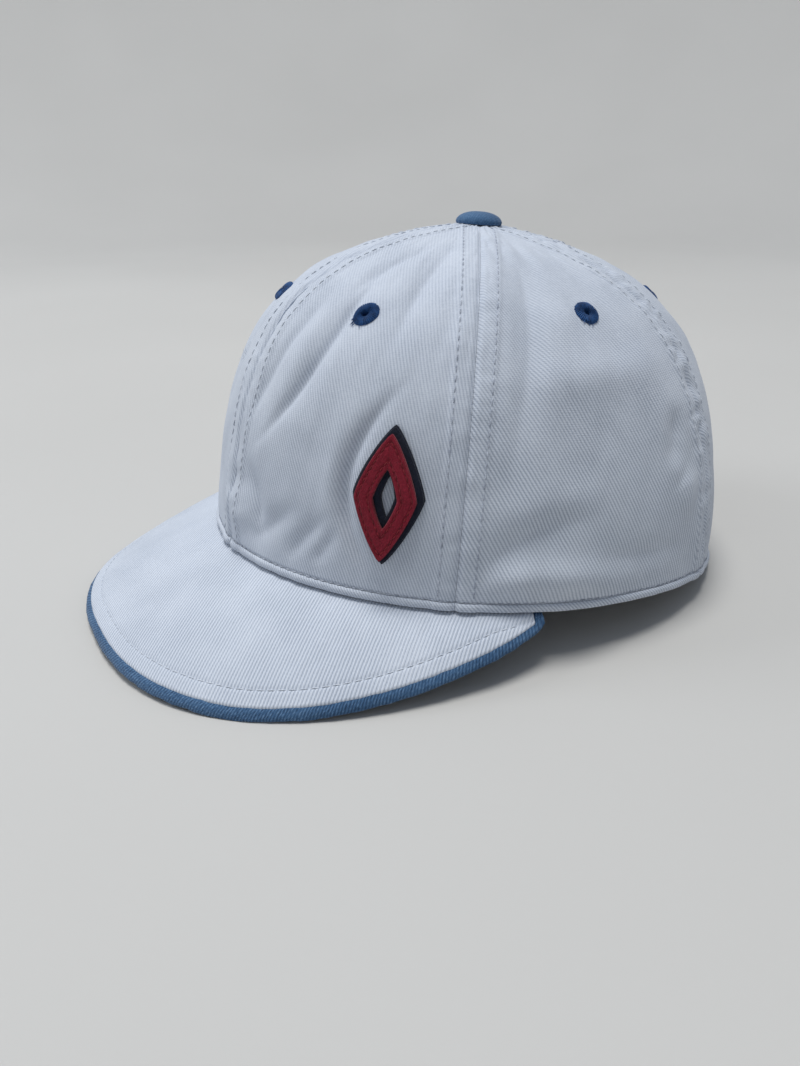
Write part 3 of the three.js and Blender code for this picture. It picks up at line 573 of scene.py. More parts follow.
def math_node(tree, operation, *values):
    return add(tree, "Math", list(enumerate(values)), operation=operation).outputs[0]


def ramp(tree, value, stops):
    """Colours along a value, from pairs of place and linear colour."""
    made = add(tree, "ValToRGB", [(0, value)])
    elements = made.color_ramp.elements
    while len(elements) < len(stops):
        elements.new(0.5)
    for element, (place, colour) in zip(elements, stops):
        element.position = place
        element.color = (*colour, 1)
    return made.outputs["Color"]


def noise(tree, vector, scale, detail=2.0, rough=0.5):
    made = add(tree, "TexNoise", [("Vector", vector), ("Scale", scale), ("Detail", detail),
                                  ("Roughness", rough)])
    return made.outputs["Fac"]


def finish_shader(tree, shader, colour, height, distance, strength, roughness, sheen):
    bump = add(tree, "Bump", [("Height", height), ("Distance", distance), ("Strength", strength)])
    tree.links.new(bump.outputs["Normal"], shader.inputs["Normal"])
    tree.links.new(colour, shader.inputs["Base Color"])
    shader.inputs["Roughness"].default_value = roughness
    shader.inputs["Sheen Weight"].default_value = sheen
    shader.inputs["Sheen Roughness"].default_value = 0.5
    shader.inputs["Specular IOR Level"].default_value = 0.25


def twill(name, lean, tones, pitch=1.0, depth=0.00016, ribbed=0.27, mottled=0.45):
    """Cotton twill on the cloth's own millimetres: slanting ribs with narrow gaps, each broken into
    short floats, with uneven yarn and a washed, blotched colour. The ribs are fainter in some
    blotches and where the third of the cloth's numbers is above 0. That number grows towards the
    crown's top: painted light, the ribs' colour and relief faded there to stand in for the flat
    overhead light that hides them."""
    material, tree, shader = new_material(name)
    place = add(tree, "Attribute", attribute_name="cloth").outputs["Vector"]
    a = math.radians(lean)
    across = (2 * math.pi / pitch * math.cos(a), 2 * math.pi / pitch * math.sin(a), 0)
    float_pitch = pitch * 0.62
    upright = (0, 2 * math.pi / float_pitch, 0)
    wander = noise(tree, place, scale=0.35, detail=3.0)
    wobble = math_node(tree, "MULTIPLY", wander, 1.6)
    phase = add(tree, "VectorMath", [(0, place), (1, across)], operation="DOT_PRODUCT").outputs["Value"]
    ribs = math_node(tree, "SINE", math_node(tree, "ADD", phase, wobble))
    rise = add(tree, "VectorMath", [(0, place), (1, upright)], operation="DOT_PRODUCT").outputs["Value"]
    floats = math_node(tree, "SINE", math_node(tree, "ADD", rise, wobble))
    yarn = noise(tree, place, scale=1.6, detail=2.0, rough=0.6)
    full = math_node(tree, "POWER", math_node(tree, "MULTIPLY_ADD", ribs, 0.5, 0.5), 0.7)
    blotch = noise(tree, place, scale=0.05, detail=3.0, rough=0.55)
    # Painted light: the third number fades the ribs towards the crown's top, standing in for the flat
    # overhead light there; the blotches fade them at random.
    rib_fade = add(tree, "SeparateXYZ", [(0, place)]).outputs["Z"]
    rib_fade = math_node(tree, "MULTIPLY_ADD", math_node(tree, "SUBTRACT", blotch, 0.5), 1.5, rib_fade)
    strength = math_node(tree, "MULTIPLY_ADD", rib_fade, -1.1 * ribbed, 2 * ribbed)
    weave = math_node(tree, "MULTIPLY_ADD", math_node(tree, "SUBTRACT", full, 0.6), strength, 0.42)
    weave = math_node(tree, "MULTIPLY_ADD", floats, ribbed / 4, weave)
    weave = math_node(tree, "MULTIPLY_ADD", math_node(tree, "SUBTRACT", yarn, 0.5), mottled, weave)
    tone = math_node(tree, "MULTIPLY_ADD", weave, 0.8, 0.09)
    tone = math_node(tree, "MULTIPLY_ADD", math_node(tree, "SUBTRACT", blotch, 0.5), 0.4, tone)
    colour = ramp(tree, tone, list(zip((0.05, 0.45, 0.85), tones)))
    finish_shader(tree, shader, colour, weave, depth, strength=0.9, roughness=0.88, sheen=0.12)
    return material


def felt(name, dark, light):
    """Pressed wool: short fibres in all directions and a soft bloom."""
    material, tree, shader = new_material(name)
    place = add(tree, "TexCoord").outputs["Object"]
    fibres = noise(tree, place, scale=1900.0, detail=4.0, rough=0.7)
    tufts = noise(tree, place, scale=420.0, detail=3.0, rough=0.6)
    height = math_node(tree, "MULTIPLY_ADD", tufts, 0.6, fibres)
    colour = ramp(tree, math_node(tree, "MULTIPLY", height, 0.62), [(0.3, dark), (0.7, light)])
    finish_shader(tree, shader, colour, height, distance=0.0005, strength=0.9, roughness=0.95,
                  sheen=0.12)
    return material


def thread(name, dark, light, roughness=0.7):
    """Twisted thread: fine slanting plies and small changes of tone."""
    material, tree, shader = new_material(name)
    place = add(tree, "TexCoord").outputs["Object"]
    plies = noise(tree, place, scale=2600.0, detail=2.0, rough=0.6)
    tone = noise(tree, place, scale=500.0, detail=2.0, rough=0.5)
    both = math_node(tree, "MULTIPLY_ADD", math_node(tree, "SUBTRACT", tone, 0.5), 0.9, plies)
    colour = ramp(tree, both, [(0.3, dark), (0.7, light)])
    finish_shader(tree, shader, colour, plies, distance=0.00009, strength=0.7, roughness=roughness,
                  sheen=0.05)
    return material


def plastic(name, dark, light):
    """Moulded plastic with a very fine satin grain and faint rubbing."""
    material, tree, shader = new_material(name)
    place = add(tree, "TexCoord").outputs["Object"]
    grain = noise(tree, place, scale=1500.0, detail=2.0, rough=0.5)
    rub = noise(tree, place, scale=90.0, detail=4.0, rough=0.6)
    colour = ramp(tree, rub, [(0.35, dark), (0.65, light)])
    finish_shader(tree, shader, colour, grain, distance=0.00006, strength=0.5, roughness=0.38,
                  sheen=0.0)
    shader.inputs["Specular IOR Level"].default_value = 0.5
    return material


STRAP_PLASTIC = plastic("strap_plastic", *STRAP_TONES)
EYELET_THREAD = thread("eyelet_thread", *EYELET_TONES, roughness=0.6)
GREY_THREAD = thread("grey_thread", *GREY_THREAD_TONES)
PALE_THREAD = thread("pale_thread", *PALE_THREAD_TONES)
RED_THREAD = thread("red_thread", *RED_THREAD_TONES, roughness=0.6)


# The crown's panels

def column_turns(first, last):
    """Turns of a panel's columns, closer together at its seams and, in a back panel, at the foot
    of the arch."""
    if 180 not in (first, last):
        strip = np.linspace(0, SEAM_STRIP, STRIP_COLUMNS)
        inner = np.linspace(SEAM_STRIP, 1 - SEAM_STRIP, MIDDLE_COLUMNS)[1:-1]
        share = np.concatenate([strip, inner, 1 - strip[::-1]])
        return mix(first, last, share)
    even = np.linspace(0, 1, 61)
    side = even - 0.75 * np.sin(2 * np.pi * even) / (2 * np.pi)
    wall = mix(BACK_SEAM, 180 - ARCH_HALF_TURN, side)
    arch = 180 - ARCH_HALF_TURN * np.sin(np.pi / 2 * np.linspace(1, 0, 81)[1:] ** 1.5)
    turns = np.concatenate([wall, arch])
    return turns if last == 180 else 360 - turns[::-1]


def panel_grid(first, last):
    """Turn and rise of each point: columns as above, and rows by length, close at the hem."""
    turns = column_turns(first, last)
    dense = np.linspace(0, 1, 241)[:, None]
    rises = mix(lower_edge(turns), TOP_HOLE_RISE, dense)
    steps = np.linalg.norm(np.diff(crown(turns, rises), axis=0), axis=-1)
    lengths = np.concatenate([np.zeros((1, len(turns))), np.cumsum(steps, axis=0)])
    hem = np.concatenate([np.arange(0.9, 4.2, 0.22), np.arange(4.2, 8, 0.5)])
    up = np.linspace(0, 1, PANEL_ROWS)[1:]
    columns = []
    for along, rising in zip(lengths.T, rises.T):
        wanted = np.concatenate([hem, mix(hem[-1], along[-1], up)])
        columns.append(np.interp(wanted, along, rising))
    rise = np.array(columns).T
    return np.broadcast_to(turns, rise.shape), rise


def cloth_places(turn, rise, middle, from_edge):
    """Millimetres across and up the panel for each point, and how faint its ribs are: painted
    light, growing towards the top to stand in for the flat overhead light there. The rolled hem's
    cloth is turned."""
    levels = np.linspace(0, 1, 400)
    up = np.interp(rise, levels, lengths_along(crown(middle, levels)))
    across = (turn - middle) * turn_scale(turn, rise)
    hem = from_edge < HEM_ROLL + 0.1
    # Painted light: the ribs fade towards the crown's top, where the overhead light shows them faintly.
    rib_fade = smoothstep(rise, 0.12, 0.75)
    return vec(np.where(hem, across + 0.35 * up, across), np.where(hem, up * 1.2 + 40, up), rib_fade)


def add_panel(name, first, last, lean, pitch):
    """The panel's outer face over its grid, an inner face one cloth's thickness below it, and a
    half-round lower edge between them. Cells round the eyelet are left out."""
    turn, rise = panel_grid(first, last)
    bare, normal = crown(turn, rise), crown_normal(turn, rise)
    outer = bare + normal * relief(turn, rise, bare)[..., None]
    outer[:, 0] += unit(outer[:, 1] - outer[:, 0]) * PANEL_GAP
    outer[:, -1] += unit(outer[:, -2] - outer[:, -1]) * PANEL_GAP
    from_edge = edge_distance(turn, rise, bare)
    thick = mix(HEM_CLOTH, CLOTH, smoothstep(from_edge, 7, 9)) + 0.3 * (from_edge < HEM_ROLL)
    inner = outer - normal * thick[..., None]
    places = cloth_places(turn, rise, (first + last) / 2, from_edge)
    run = np.gradient(outer[0], axis=0)
    down = unit(np.cross(run, normal[0])) * LOWER_ROUND
    centre, half = (outer[0] + inner[0]) / 2, (outer[0] - inner[0]) / 2
    bend = np.radians(np.linspace(78, 0, 6))[:-1, None, None]
    outer = np.concatenate([centre + half * np.cos(bend) + down * np.sin(bend), outer])
    inner = np.concatenate([centre - half * np.cos(bend) + down * np.sin(bend), inner])
    round_rows = np.repeat(places[:1], len(bend), axis=0) - bend * (0, 1.0, 0)
    places = np.concatenate([round_rows, places])
    eyelet = crown(*EYELETS[name])
    corners = np.linalg.norm(outer - eyelet, axis=-1)
    cell = (corners[:-1, :-1] + corners[1:, :-1] + corners[:-1, 1:] + corners[1:, 1:]) / 4
    rows, columns = outer.shape[:2]
    points = np.concatenate([outer.reshape(-1, 3), inner.reshape(-1, 3)])
    cloth = np.concatenate([places.reshape(-1, 3), places.reshape(-1, 3)])
    make_piece(name + "_panel_cloth", points, wall_faces(rows, columns, cell > EYELET_CUT),
               twill(name + "_twill", lean, GREYS, pitch, ribbed=0.3 if "front" in name else 0.36),
               node="panel_" + name, cloth=cloth)


# Stitches

def tubes(lines, out, thick, sides=6):
    """Round tubes along lines of shape (count, rings, 3), with a radius for each ring."""
    ahead = unit(np.gradient(lines, axis=1))
    side = unit(np.cross(out, ahead))
    up = np.cross(ahead, side)
    a = np.linspace(0, 2 * np.pi, sides, endpoint=False)
    ring = side[:, :, None] * np.cos(a)[:, None] + up[:, :, None] * np.sin(a)[:, None]
    points = lines[:, :, None] + ring * thick[:, None, None]
    return points.reshape(-1, 3), tube_faces(lines.shape[1], sides, lines.shape[0])


def stitches(name, paths, size, material, sink=0.35):
    """Rows of stitches along paths of points and normals. Each stitch is a thread that comes out
    of the cloth, runs its length and goes back in: its height follows a half sine."""
    length, gap, radius = size
    points, faces, start = [], [], 0
    w = np.linspace(0, 1, 6)
    arc = np.sin(np.pi * w) ** 0.5
    for line, normal in paths:
        lengths = lengths_along(line)
        count = int(lengths[-1] // (length + gap))
        if count < 1:
            continue
        pitch = lengths[-1] / count
        where = (np.arange(count)[:, None] + 0.5) * pitch + (w - 0.5) * (pitch - gap)
        at = places_along(line, lengths, where)
        out = unit(places_along(normal, lengths, where))
        lift = radius * (1.15 * arc - sink)
        tube, tube_quads = tubes(at + out * lift[:, None], out, radius * (0.45 + 0.55 * arc))
        points.append(tube)
        faces += [f + start for f in tube_quads]
        start += len(tube)
    make_piece(name, np.concatenate(points), faces, material, angle=80)


def loose_threads(name, strands, radius, material):
    """Thread ends that stick out of the cloth: each is a quadratic curve through three places,
    given in mm to the right of, above and out from a place on the crown, and tapers to its tip."""
    t = np.linspace(0, 1, 7)[:, None]
    weights = ((1 - t) ** 2, 2 * t * (1 - t), t ** 2)
    lines, out = [], []
    for (turn, rise), places in strands:
        right, up, proud = sum(w * np.array(p, float) for w, p in zip(weights, places)).T
        line, normal = cloth_point(*step(turn, rise, right, up), proud)
        lines.append(line)
        out.append(normal)
    points, faces = tubes(np.array(lines), np.array(out), radius * np.linspace(1, 0.35, 7))
    make_piece(name, points, faces, material, angle=80)


def eyelet_strands(name, count):
    """Short thread ends hanging from an eyelet's lower edge."""
    random = np.random.default_rng(count + len(name))
    angles = np.radians(random.uniform(190, 285, count))
    strands = []
    for a in angles:
        length, bend = random.uniform(0.6, 1.5), random.uniform(-0.4, 0.4)
        x, y = 4.1 * math.cos(a), 4.1 * math.sin(a)
        strands.append((EYELETS[name], ((x, y, 0.4), (x + bend, y - length / 2, 0.5),
                                        (x + bend * 2, y - length, 0.25))))
    return strands


def seam_paths(seams):
    """The two stitch rows of each seam, from above the hem to under the button."""
    paths = []
    for seam in seams:
        low = lower_edge(seam) + SEAM_ROW_FOOT / rise_scale(float(seam), 0.02)
        rise = np.linspace(low, SEAM_ROW_TOP, 160)
        for side in (-1, 1):
            per_turn = turn_scale(seam, rise)
            row = seam_distance(seam + side * STITCH_ROW / per_turn, rise)[1]
            paths.append(cloth_point(seam + side * row / per_turn, rise))
    return paths


def hem_path():
    """The hem's stitch row, from one foot of the arch round the front to the other, and over
    the arch."""
    foot = ARCH_HALF_TURN + 180 + 2
    turn = np.linspace(foot, 720 - foot, 900)
    rise = HEM_STITCH / rise_scale(turn, 0.01)
    along = np.linspace(-0.985, 0.985, 300) * np.pi / 2
    arch_turn = 180 + ARCH_HALF_TURN * np.sin(along)
    arch_rise = ARCH_RISE * np.cos(along)
    flat = np.stack([arch_turn * turn_scale(arch_turn, arch_rise),
                     arch_rise * rise_scale(arch_turn, arch_rise)], -1)
    run = unit(np.gradient(flat, axis=0)) * HEM_STITCH
    return [cloth_point(turn, rise), cloth_point(*step(arch_turn, arch_rise, -run[:, 1], run[:, 0]))]


# The peak

def peak_edge(count):
    """Half of a superellipse in plan, spaced evenly along its length, that bends down at its
    sides and comes up to the rim at its ends."""
    end = rim(PEAK_END)
    a = np.linspace(-np.pi / 2, np.pi / 2, 1201)
    side = np.abs(np.sin(a)) ** (2 / PEAK_POWER)
    ahead = np.maximum(np.cos(a), 0) ** (2 / PEAK_POWER)
    half = end[0] + PEAK_WIDER - PEAK_WIDER * np.maximum(1 - ahead * 4, 0) ** 2
    y = end[1] - (RIM_HALF_LENGTH + PEAK_REACH + end[1]) * ahead
    raised = np.maximum(1 - ahead / PEAK_RISE_START, 0) ** PEAK_RISE_POWER
    line = vec(np.sign(a) * side * half, y, mix(RIM_FRONT_LIFT - PEAK_DROP, end[2], raised))
    lengths = lengths_along(line)
    margin = (1 - PEAK_SPAN) / 2
    wanted = lengths[-1] * np.linspace(margin, 1 - margin, count)
    return places_along(line, lengths, wanted)


# Along the peak's edge, from the wearer's right to the left: s, the edge, where the peak meets
# the rim, its width, the stitch row's distance from the edge, and how thin it gets at its tips
PEAK_EDGE = peak_edge(PEAK_COUNT)
PEAK_S = np.linspace(-PEAK_SPAN, PEAK_SPAN, PEAK_COUNT)
PEAK_OUT = unit(crown_normal(PEAK_END * PEAK_S, 0.004) * (1, 1, 0))
PEAK_INNER = rim(PEAK_END * PEAK_S) - PEAK_OUT * PEAK_TUCK - np.array([0, 0, GAP])
PEAK_WIDTH = np.linalg.norm(PEAK_EDGE - PEAK_INNER, axis=-1)
PEAK_ROW = np.minimum(mix(*PEAK_STITCH, smoothstep(PEAK_S, -0.5, 0.5)), PEAK_WIDTH * 0.45)
PEAK_TIP = np.clip((np.abs(PEAK_S) - PEAK_SPAN + 0.016) / 0.016, 0, 1)
PEAK_THIN = mix(1, 0.62, np.abs(PEAK_S) ** 6) * mix(1, np.sqrt(1 - PEAK_TIP ** 2), 0.75)


def peak_point(from_edge, below):
    """Points of the peak at distances in from its edge and below its upper surface. The surface
    runs straight from the rim to the edge and bulges up between them by a parabola."""
    t = np.maximum(1 - from_edge / PEAK_WIDTH[:, None], 0)
    point = mix(PEAK_INNER[:, None], PEAK_EDGE[:, None], t[..., None])
    point[..., 2] += PEAK_CROWNING * 4 * t * (1 - t) * (1 - PEAK_S[:, None] ** 4) - below
    return point


def peak_uneven(from_edge):
    """Slight waviness of the peak's cloth, and the dent along its stitch row."""
    s = PEAK_S[:, None] * 30
    wave = PEAK_WAVES * soft_noise(s + 5, from_edge / 9, 21)
    wave = wave + PEAK_FINE_WAVES * soft_noise(s * 3, from_edge / 3, 22)
    dent = PEAK_DENT * bell(from_edge - PEAK_ROW[:, None], PEAK_DENT_WIDTH)
    return wave * smoothstep(from_edge, 1.5, 4) - dent


def add_peak():
    """The upper cloth is a closed section carried along the edge: its face from under the hem,
    a rounded outer edge and its back. The lower cloth runs under it and wraps up round the edge
    in a half-round lip. At the tips, where the upper cloth stops short, the lower cloth rises to
    the peak's surface."""
    proud = 0.15
    lip = PEAK_LIP + proud
    widths = np.maximum(PEAK_WIDTH - lip, 1.0)[:, None]
    face = np.concatenate([np.linspace(1, 0.25, 46), np.linspace(0.25, 0, 40)[1:]])
    thin = PEAK_THIN[:, None]
    top_from = lip + 0.5 + (widths - 0.5) * face
    top = peak_point(top_from, -peak_uneven(top_from))
    bend = np.linspace(0, np.pi, 10)[1:-1]
    nose = peak_point(lip + 0.5 - 0.5 * np.sin(bend) * np.ones_like(thin),
                      PEAK_TOP_CLOTH * thin * (1 - np.cos(bend)) / 2)
    back = peak_point(top_from[:, ::4][:, ::-1], PEAK_TOP_CLOTH * thin)
    section = np.concatenate([top, nose, back], axis=1)[TIP_ROWS:-TIP_ROWS]
    make_piece("peak_upper_cloth", section, tube_faces(*section.shape[:2]),
               twill("peak_twill", PEAK_TWILL_LEAN, GREYS, ribbed=0.34),
               node="peak_top", cloth=section * (1, 1, 0))
    from_tip = np.minimum(np.arange(PEAK_COUNT), np.arange(PEAK_COUNT)[::-1])[:, None]
    bare = from_tip < TIP_ROWS
    under = np.where(bare, 0.1, PEAK_TOP_CLOTH * thin + 0.12)
    lip_low = np.where(bare, 0.0, LIP_LOW)
    seat = peak_point(lip + (widths - 0.2) * np.linspace(1, 0, 24), under)
    turn = np.linspace(-0.5 * np.pi, 0.5 * np.pi, 22)
    s = PEAK_S[:, None]
    rough = 0.14 * soft_noise(s * 55, turn * 2, 31) + 0.09 * soft_noise(s * 170 + turn * 2, turn * 3, 32)
    low = PEAK_THICKNESS * thin
    middle, radius = (low + proud + lip_low) / 2, (low + proud - lip_low) / 2
    nose = peak_point(lip * (1 - np.cos(turn)) - rough * np.cos(turn),
                      middle + (radius + rough) * np.sin(turn))
    inward = np.concatenate([np.linspace(0, 0.2, 20)[1:], np.linspace(0.2, 1, 30)[1:]])
    bottom_from = lip + (widths - 0.2) * inward
    bottom = peak_point(bottom_from, low - 0.6 * peak_uneven(bottom_from))
    section = np.concatenate([seat, nose, bottom], axis=1)
    outward = unit((PEAK_EDGE - PEAK_INNER) * (1, 1, 0))[:, None]
    foot = peak_point(np.full((1, 1), lip), low)
    unrolled = foot + outward * (radius * (np.pi / 2 - turn))[..., None]
    cloth = np.concatenate([seat, unrolled, bottom], axis=1) * (1, 1, 0)
    make_piece("peak_lower_cloth", section, tube_faces(*section.shape[:2]),
               twill("lower_peak_twill", LOWER_TWILL_LEAN, BLUES, pitch=0.9, depth=0.00018,
                     ribbed=0.22, mottled=1.3),
               node="peak_under", cloth=cloth)


def peak_stitch_paths():
    """The peak's stitch row on its upper and on its lower face."""
    row = PEAK_ROW[:, None]
    shown = slice(14, -14)
    top = peak_point(row, -peak_uneven(row))[shown, 0]
    low = peak_point(row, PEAK_THICKNESS * PEAK_THIN[:, None] - 0.6 * peak_uneven(row))[shown, 0]
    up = np.broadcast_to((0.0, 0.0, 1.0), top.shape)
    return [(top, up)], [(low, -up)]


# Eyelets, button and patch

def add_eyelet(name):
    """A ring of radial stitches: the closed section, rounded by a Catmull-Rom curve and carried
    round the hole, with a ridge for each thread and a ragged outer edge."""
    turn, rise = EYELETS[name]
    count = len(EYELET_SECTION)
    t = np.arange(count * 2) / 2
    whole, part = t.astype(int), (t % 1)[:, None]
    p0, p1, p2, p3 = (EYELET_SECTION[(whole + k) % count] for k in (-1, 0, 1, 2))
    smooth = 0.5 * (2 * p1 + (p2 - p0) * part + (2 * p0 - 5 * p1 + 4 * p2 - p3) * part ** 2
                    + (3 * p1 - p0 - 3 * p2 + p3) * part ** 3)
    radius, height = smooth[:, 0], smooth[:, 1]
    a = np.linspace(0, 2 * np.pi, EYELET_THREADS * 6, endpoint=False)[:, None]
    random = np.random.default_rng(len(name) + int(turn))
    ragged = random.uniform(-EYELET_RAGGED, EYELET_RAGGED, EYELET_THREADS)
    ridge = np.abs(np.sin(a * EYELET_THREADS / 2)) ** 0.6
    which = np.floor(a[:, 0] * EYELET_THREADS / (2 * np.pi)).astype(int) % EYELET_THREADS
    upper = smoothstep(height, -0.2, 0.4)
    outward = smoothstep(radius, 3.6, 4.8)
    r = radius + outward * (ragged[which][:, None] * ridge - 0.12)
    h = height + upper * EYELET_RIDGE * (ridge - 0.7)
    twist = a + 0.05 * (radius - 1.2)
    place = cloth_point(*step(turn, rise, r * np.cos(twist), r * np.sin(twist)), h)[0]
    make_piece(name + "_eyelet_thread", place, tube_faces(len(a), smooth.shape[0], closed=True),
               EYELET_THREAD, node="eyelet_" + name)


def add_button():
    """A cloth-covered button: a dished underside, a side that curves out and in again, and a low
    dome, spun about its axis, with small gathers where the cloth turns under."""
    a = np.linspace(0, 2 * np.pi, BUTTON_SIDES, endpoint=False)
    low = np.radians(np.linspace(-62, 0, 12))[:-1]
    high = np.radians(np.linspace(0, 88, 26))
    widest = BUTTON_BELLY - 0.25
    inner = [1.6, 1.6, 4.0, 6.3]
    radius = np.concatenate([inner, BUTTON_RADIUS * np.cos(low) ** 0.13,
                             BUTTON_RADIUS * np.cos(high) ** 0.9])
    rise = np.concatenate([[-STEM_LENGTH, 0.3, 0.1, -0.4],
                           widest + (BUTTON_BELLY + 0.15) * np.sin(low) / math.sin(math.radians(62)),
                           widest + (BUTTON_HEIGHT - BUTTON_BELLY) * np.sin(high)])
    along = lengths_along(np.stack([radius, rise], -1))
    reach = (along[-1] - along)[:, None]
    seat = np.concatenate([inner, np.full(len(radius) - len(inner), BUTTON_SEAT)])
    cone = -math.tan(math.radians(CROWN_TOP_SLOPE)) * seat
    level = rise[:, None]
    gather = 0.12 * np.sin(a * BUTTON_GATHERS + 2 * np.sin(a * 3)) * bell(level - 0.5, 0.9)
    uneven = 0.008 * radius[:, None] * soft_noise(a / (2 * np.pi) * 8, level, 41)
    r = radius[:, None] + uneven + gather * (radius > 6.5)[:, None]
    z = CROWN_HEIGHT + BUTTON_LIFT + (cone + rise)[:, None]
    points = vec(r * np.cos(a), CROWN_TOP_Y + r * np.sin(a), z)
    make_piece("button_cover", points, tube_faces(len(radius), BUTTON_SIDES),
               twill("button_twill", 30, BLUES, pitch=0.8, depth=0.00008, ribbed=0.07, mottled=0.7),
               node="button", cloth=vec(reach * np.cos(a), reach * np.sin(a), 0))


def patch_place(layer, shift, a, t, height):
    """Points of the upright lozenge: angle a round it, t from its opening to its outer edge."""
    c = np.sign(np.cos(a)) * np.abs(np.cos(a)) ** (2 / PATCH_ROUND)
    s = np.sign(np.sin(a)) * np.abs(np.sin(a)) ** (2 / PATCH_ROUND)
    right = shift[0] + c * mix(layer["open"][0], layer["size"][0], t) / 2
    up = shift[1] + s * mix(layer["open"][1], layer["size"][1], t) / 2
    return cloth_point(*step(PATCH_TURN, PATCH_RISE, right, up), layer["low"] + height)


def add_patch_layer(name, node, layer, shift, rows, material):
    """An upright lozenge ring of felt: the superellipse outline, a closed rounded section across
    the ring, a slightly furry face and a dent under each stitch row."""
    a = np.linspace(0, 2 * np.pi, PATCH_SIDES, endpoint=False)[:, None]
    bevel = np.linspace(0, np.pi / 2, 6)
    face = np.linspace(0.94, 0.06, 44)
    t = np.concatenate([np.linspace(0, 1, 8), np.ones(6), 1 - 0.05 * np.sin(bevel), face,
                        0.05 - 0.05 * np.sin(bevel), [0]])
    thick = layer["high"] - layer["low"]
    dents = sum(FELT_DENT * bell(face - row, FELT_DENT_WIDTH) for row in rows)
    h = np.concatenate([np.zeros(8), (thick - FELT_BEVEL) * np.linspace(0.1, 1, 6),
                        thick - FELT_BEVEL * np.cos(bevel), thick - dents + 0 * face,
                        thick - FELT_BEVEL * np.sin(bevel), [thick * 0.4]])
    fur = (0.06 * soft_noise(a * 40, t * 30, 51) + 0.04 * soft_noise(a * 90, t * 70, 52)) * (h > 0.1)
    place = patch_place(layer, shift, a, t, h + fur)[0]
    make_piece(name, place, tube_faces(PATCH_SIDES, len(t), closed=True), material, node=node)


def patch_stitch_paths():
    """The tonal stitch rows of the upper felt, one inside each of its edges."""
    a = np.linspace(0, 2 * np.pi, 400)
    thick = PATCH_TOP["high"] - PATCH_TOP["low"]
    return [patch_place(PATCH_TOP, PATCH_TOP_SHIFT, a, row, thick - 0.2) for row in PATCH_ROWS]


# Strap and sweatband

def inside_rim(turn, height, inward):
    """A point inside the rim, up the wall by a height and in from the bare crown."""
    rise = height / rise_scale(turn, 0.02)
    return crown(turn, rise) - crown_normal(turn, np.maximum(rise, 0.004)) * np.asarray(inward)[..., None]


def band(name, turns, low, high, near, thick, rounding, material, node,
         slant=0.0, wave=0.0, steps=18):
    """A band inside the rim with a rounded section, carried along its turns. It leans inwards by
    its slant and is wavy."""
    t = np.linspace(0, 1, steps)
    bend = np.linspace(0, np.pi, 8)[1:-1]
    half = thick / 2
    bottom, top = low + rounding, high - rounding
    up = np.concatenate([mix(bottom, top, t), top + rounding * np.sin(bend),
                         mix(top, bottom, t), bottom - rounding * np.sin(bend)])
    depth = np.concatenate([np.full(steps, -half), -half * np.cos(bend),
                            np.full(steps, half), half * np.cos(bend)])
    near = np.broadcast_to(near, np.shape(turns))[:, None]
    turns = np.asarray(turns)[:, None]
    share = (up - low) / (high - low)
    ripple = wave * soft_noise(turns / 7, up / 12, 61)
    inward = near + half + depth + share * slant + ripple
    points = inside_rim(turns + 0 * up, up + 0 * turns, inward)
    cloth = vec(turns * 1.55 + 0 * up, up + 0 * turns + depth, 0)
    make_piece(name, points, tube_faces(*points.shape[:2]), material, node=node,
               cloth=cloth)


def add_strap():
    """Two lapped plastic ends, fastened, as one piece."""
    turns = 180 + np.linspace(-STRAP_HALF_TURN, STRAP_HALF_TURN, 160)
    lap = 1 - smoothstep(np.abs(turns - 180), STRAP_LAP, STRAP_LAP + 0.8)
    near = HEM_CLOTH + GAP - STRAP_THICK * lap / 2
    band("strap_plastic", turns, STRAP_LIFT, STRAP_LIFT + STRAP_HEIGHT, near, STRAP_THICK, 0.5,
         STRAP_PLASTIC, "snap_strap")


def add_studs():
    """Low domes in a row on the strap's outer face."""
    rings, sides = 8, 24
    b = np.linspace(0, np.pi / 2, rings)
    radius = np.concatenate([[STUD_RADIUS], STUD_RADIUS * np.cos(b) ** 0.6])
    radius[-1] = 0.1
    proud = np.concatenate([[-0.4], STUD_HEIGHT * np.sin(b) ** 0.8])[:, None]
    a = np.linspace(0, 2 * np.pi, sides, endpoint=False)
    points, faces = [], []
    middle = STRAP_LIFT + STRAP_HEIGHT / 2
    for k, stud in enumerate(STUD_TURNS):
        turn = 180.0 + stud
        right = radius[:, None] * np.cos(a) / turn_scale(turn, 0.02)
        up = middle + radius[:, None] * np.sin(a)
        inward = HEM_CLOTH + GAP - STRAP_THICK / 2 - proud + 0 * a
        points.append(inside_rim(turn + right, up, inward).reshape(-1, 3))
        faces += [f + k * (rings + 1) * sides for f in tube_faces(rings + 1, sides)]
    make_piece("strap_studs", np.concatenate(points), faces, STRAP_PLASTIC)


def add_sweatband():
    """A folded cloth band inside the rim, further from the wall at its upper edge."""
    turns = np.linspace(-BAND_HALF_TURN, BAND_HALF_TURN, 300)
    band("sweatband_cloth", turns, 1.0, BAND_HEIGHT, HEM_CLOTH + BAND_LOW, BAND_THICK, 0.7,
         twill("band_twill", 20, GREYS, pitch=0.8), "sweatband",
         slant=BAND_HIGH - BAND_LOW, wave=0.35, steps=26)


# Floor, light and camera

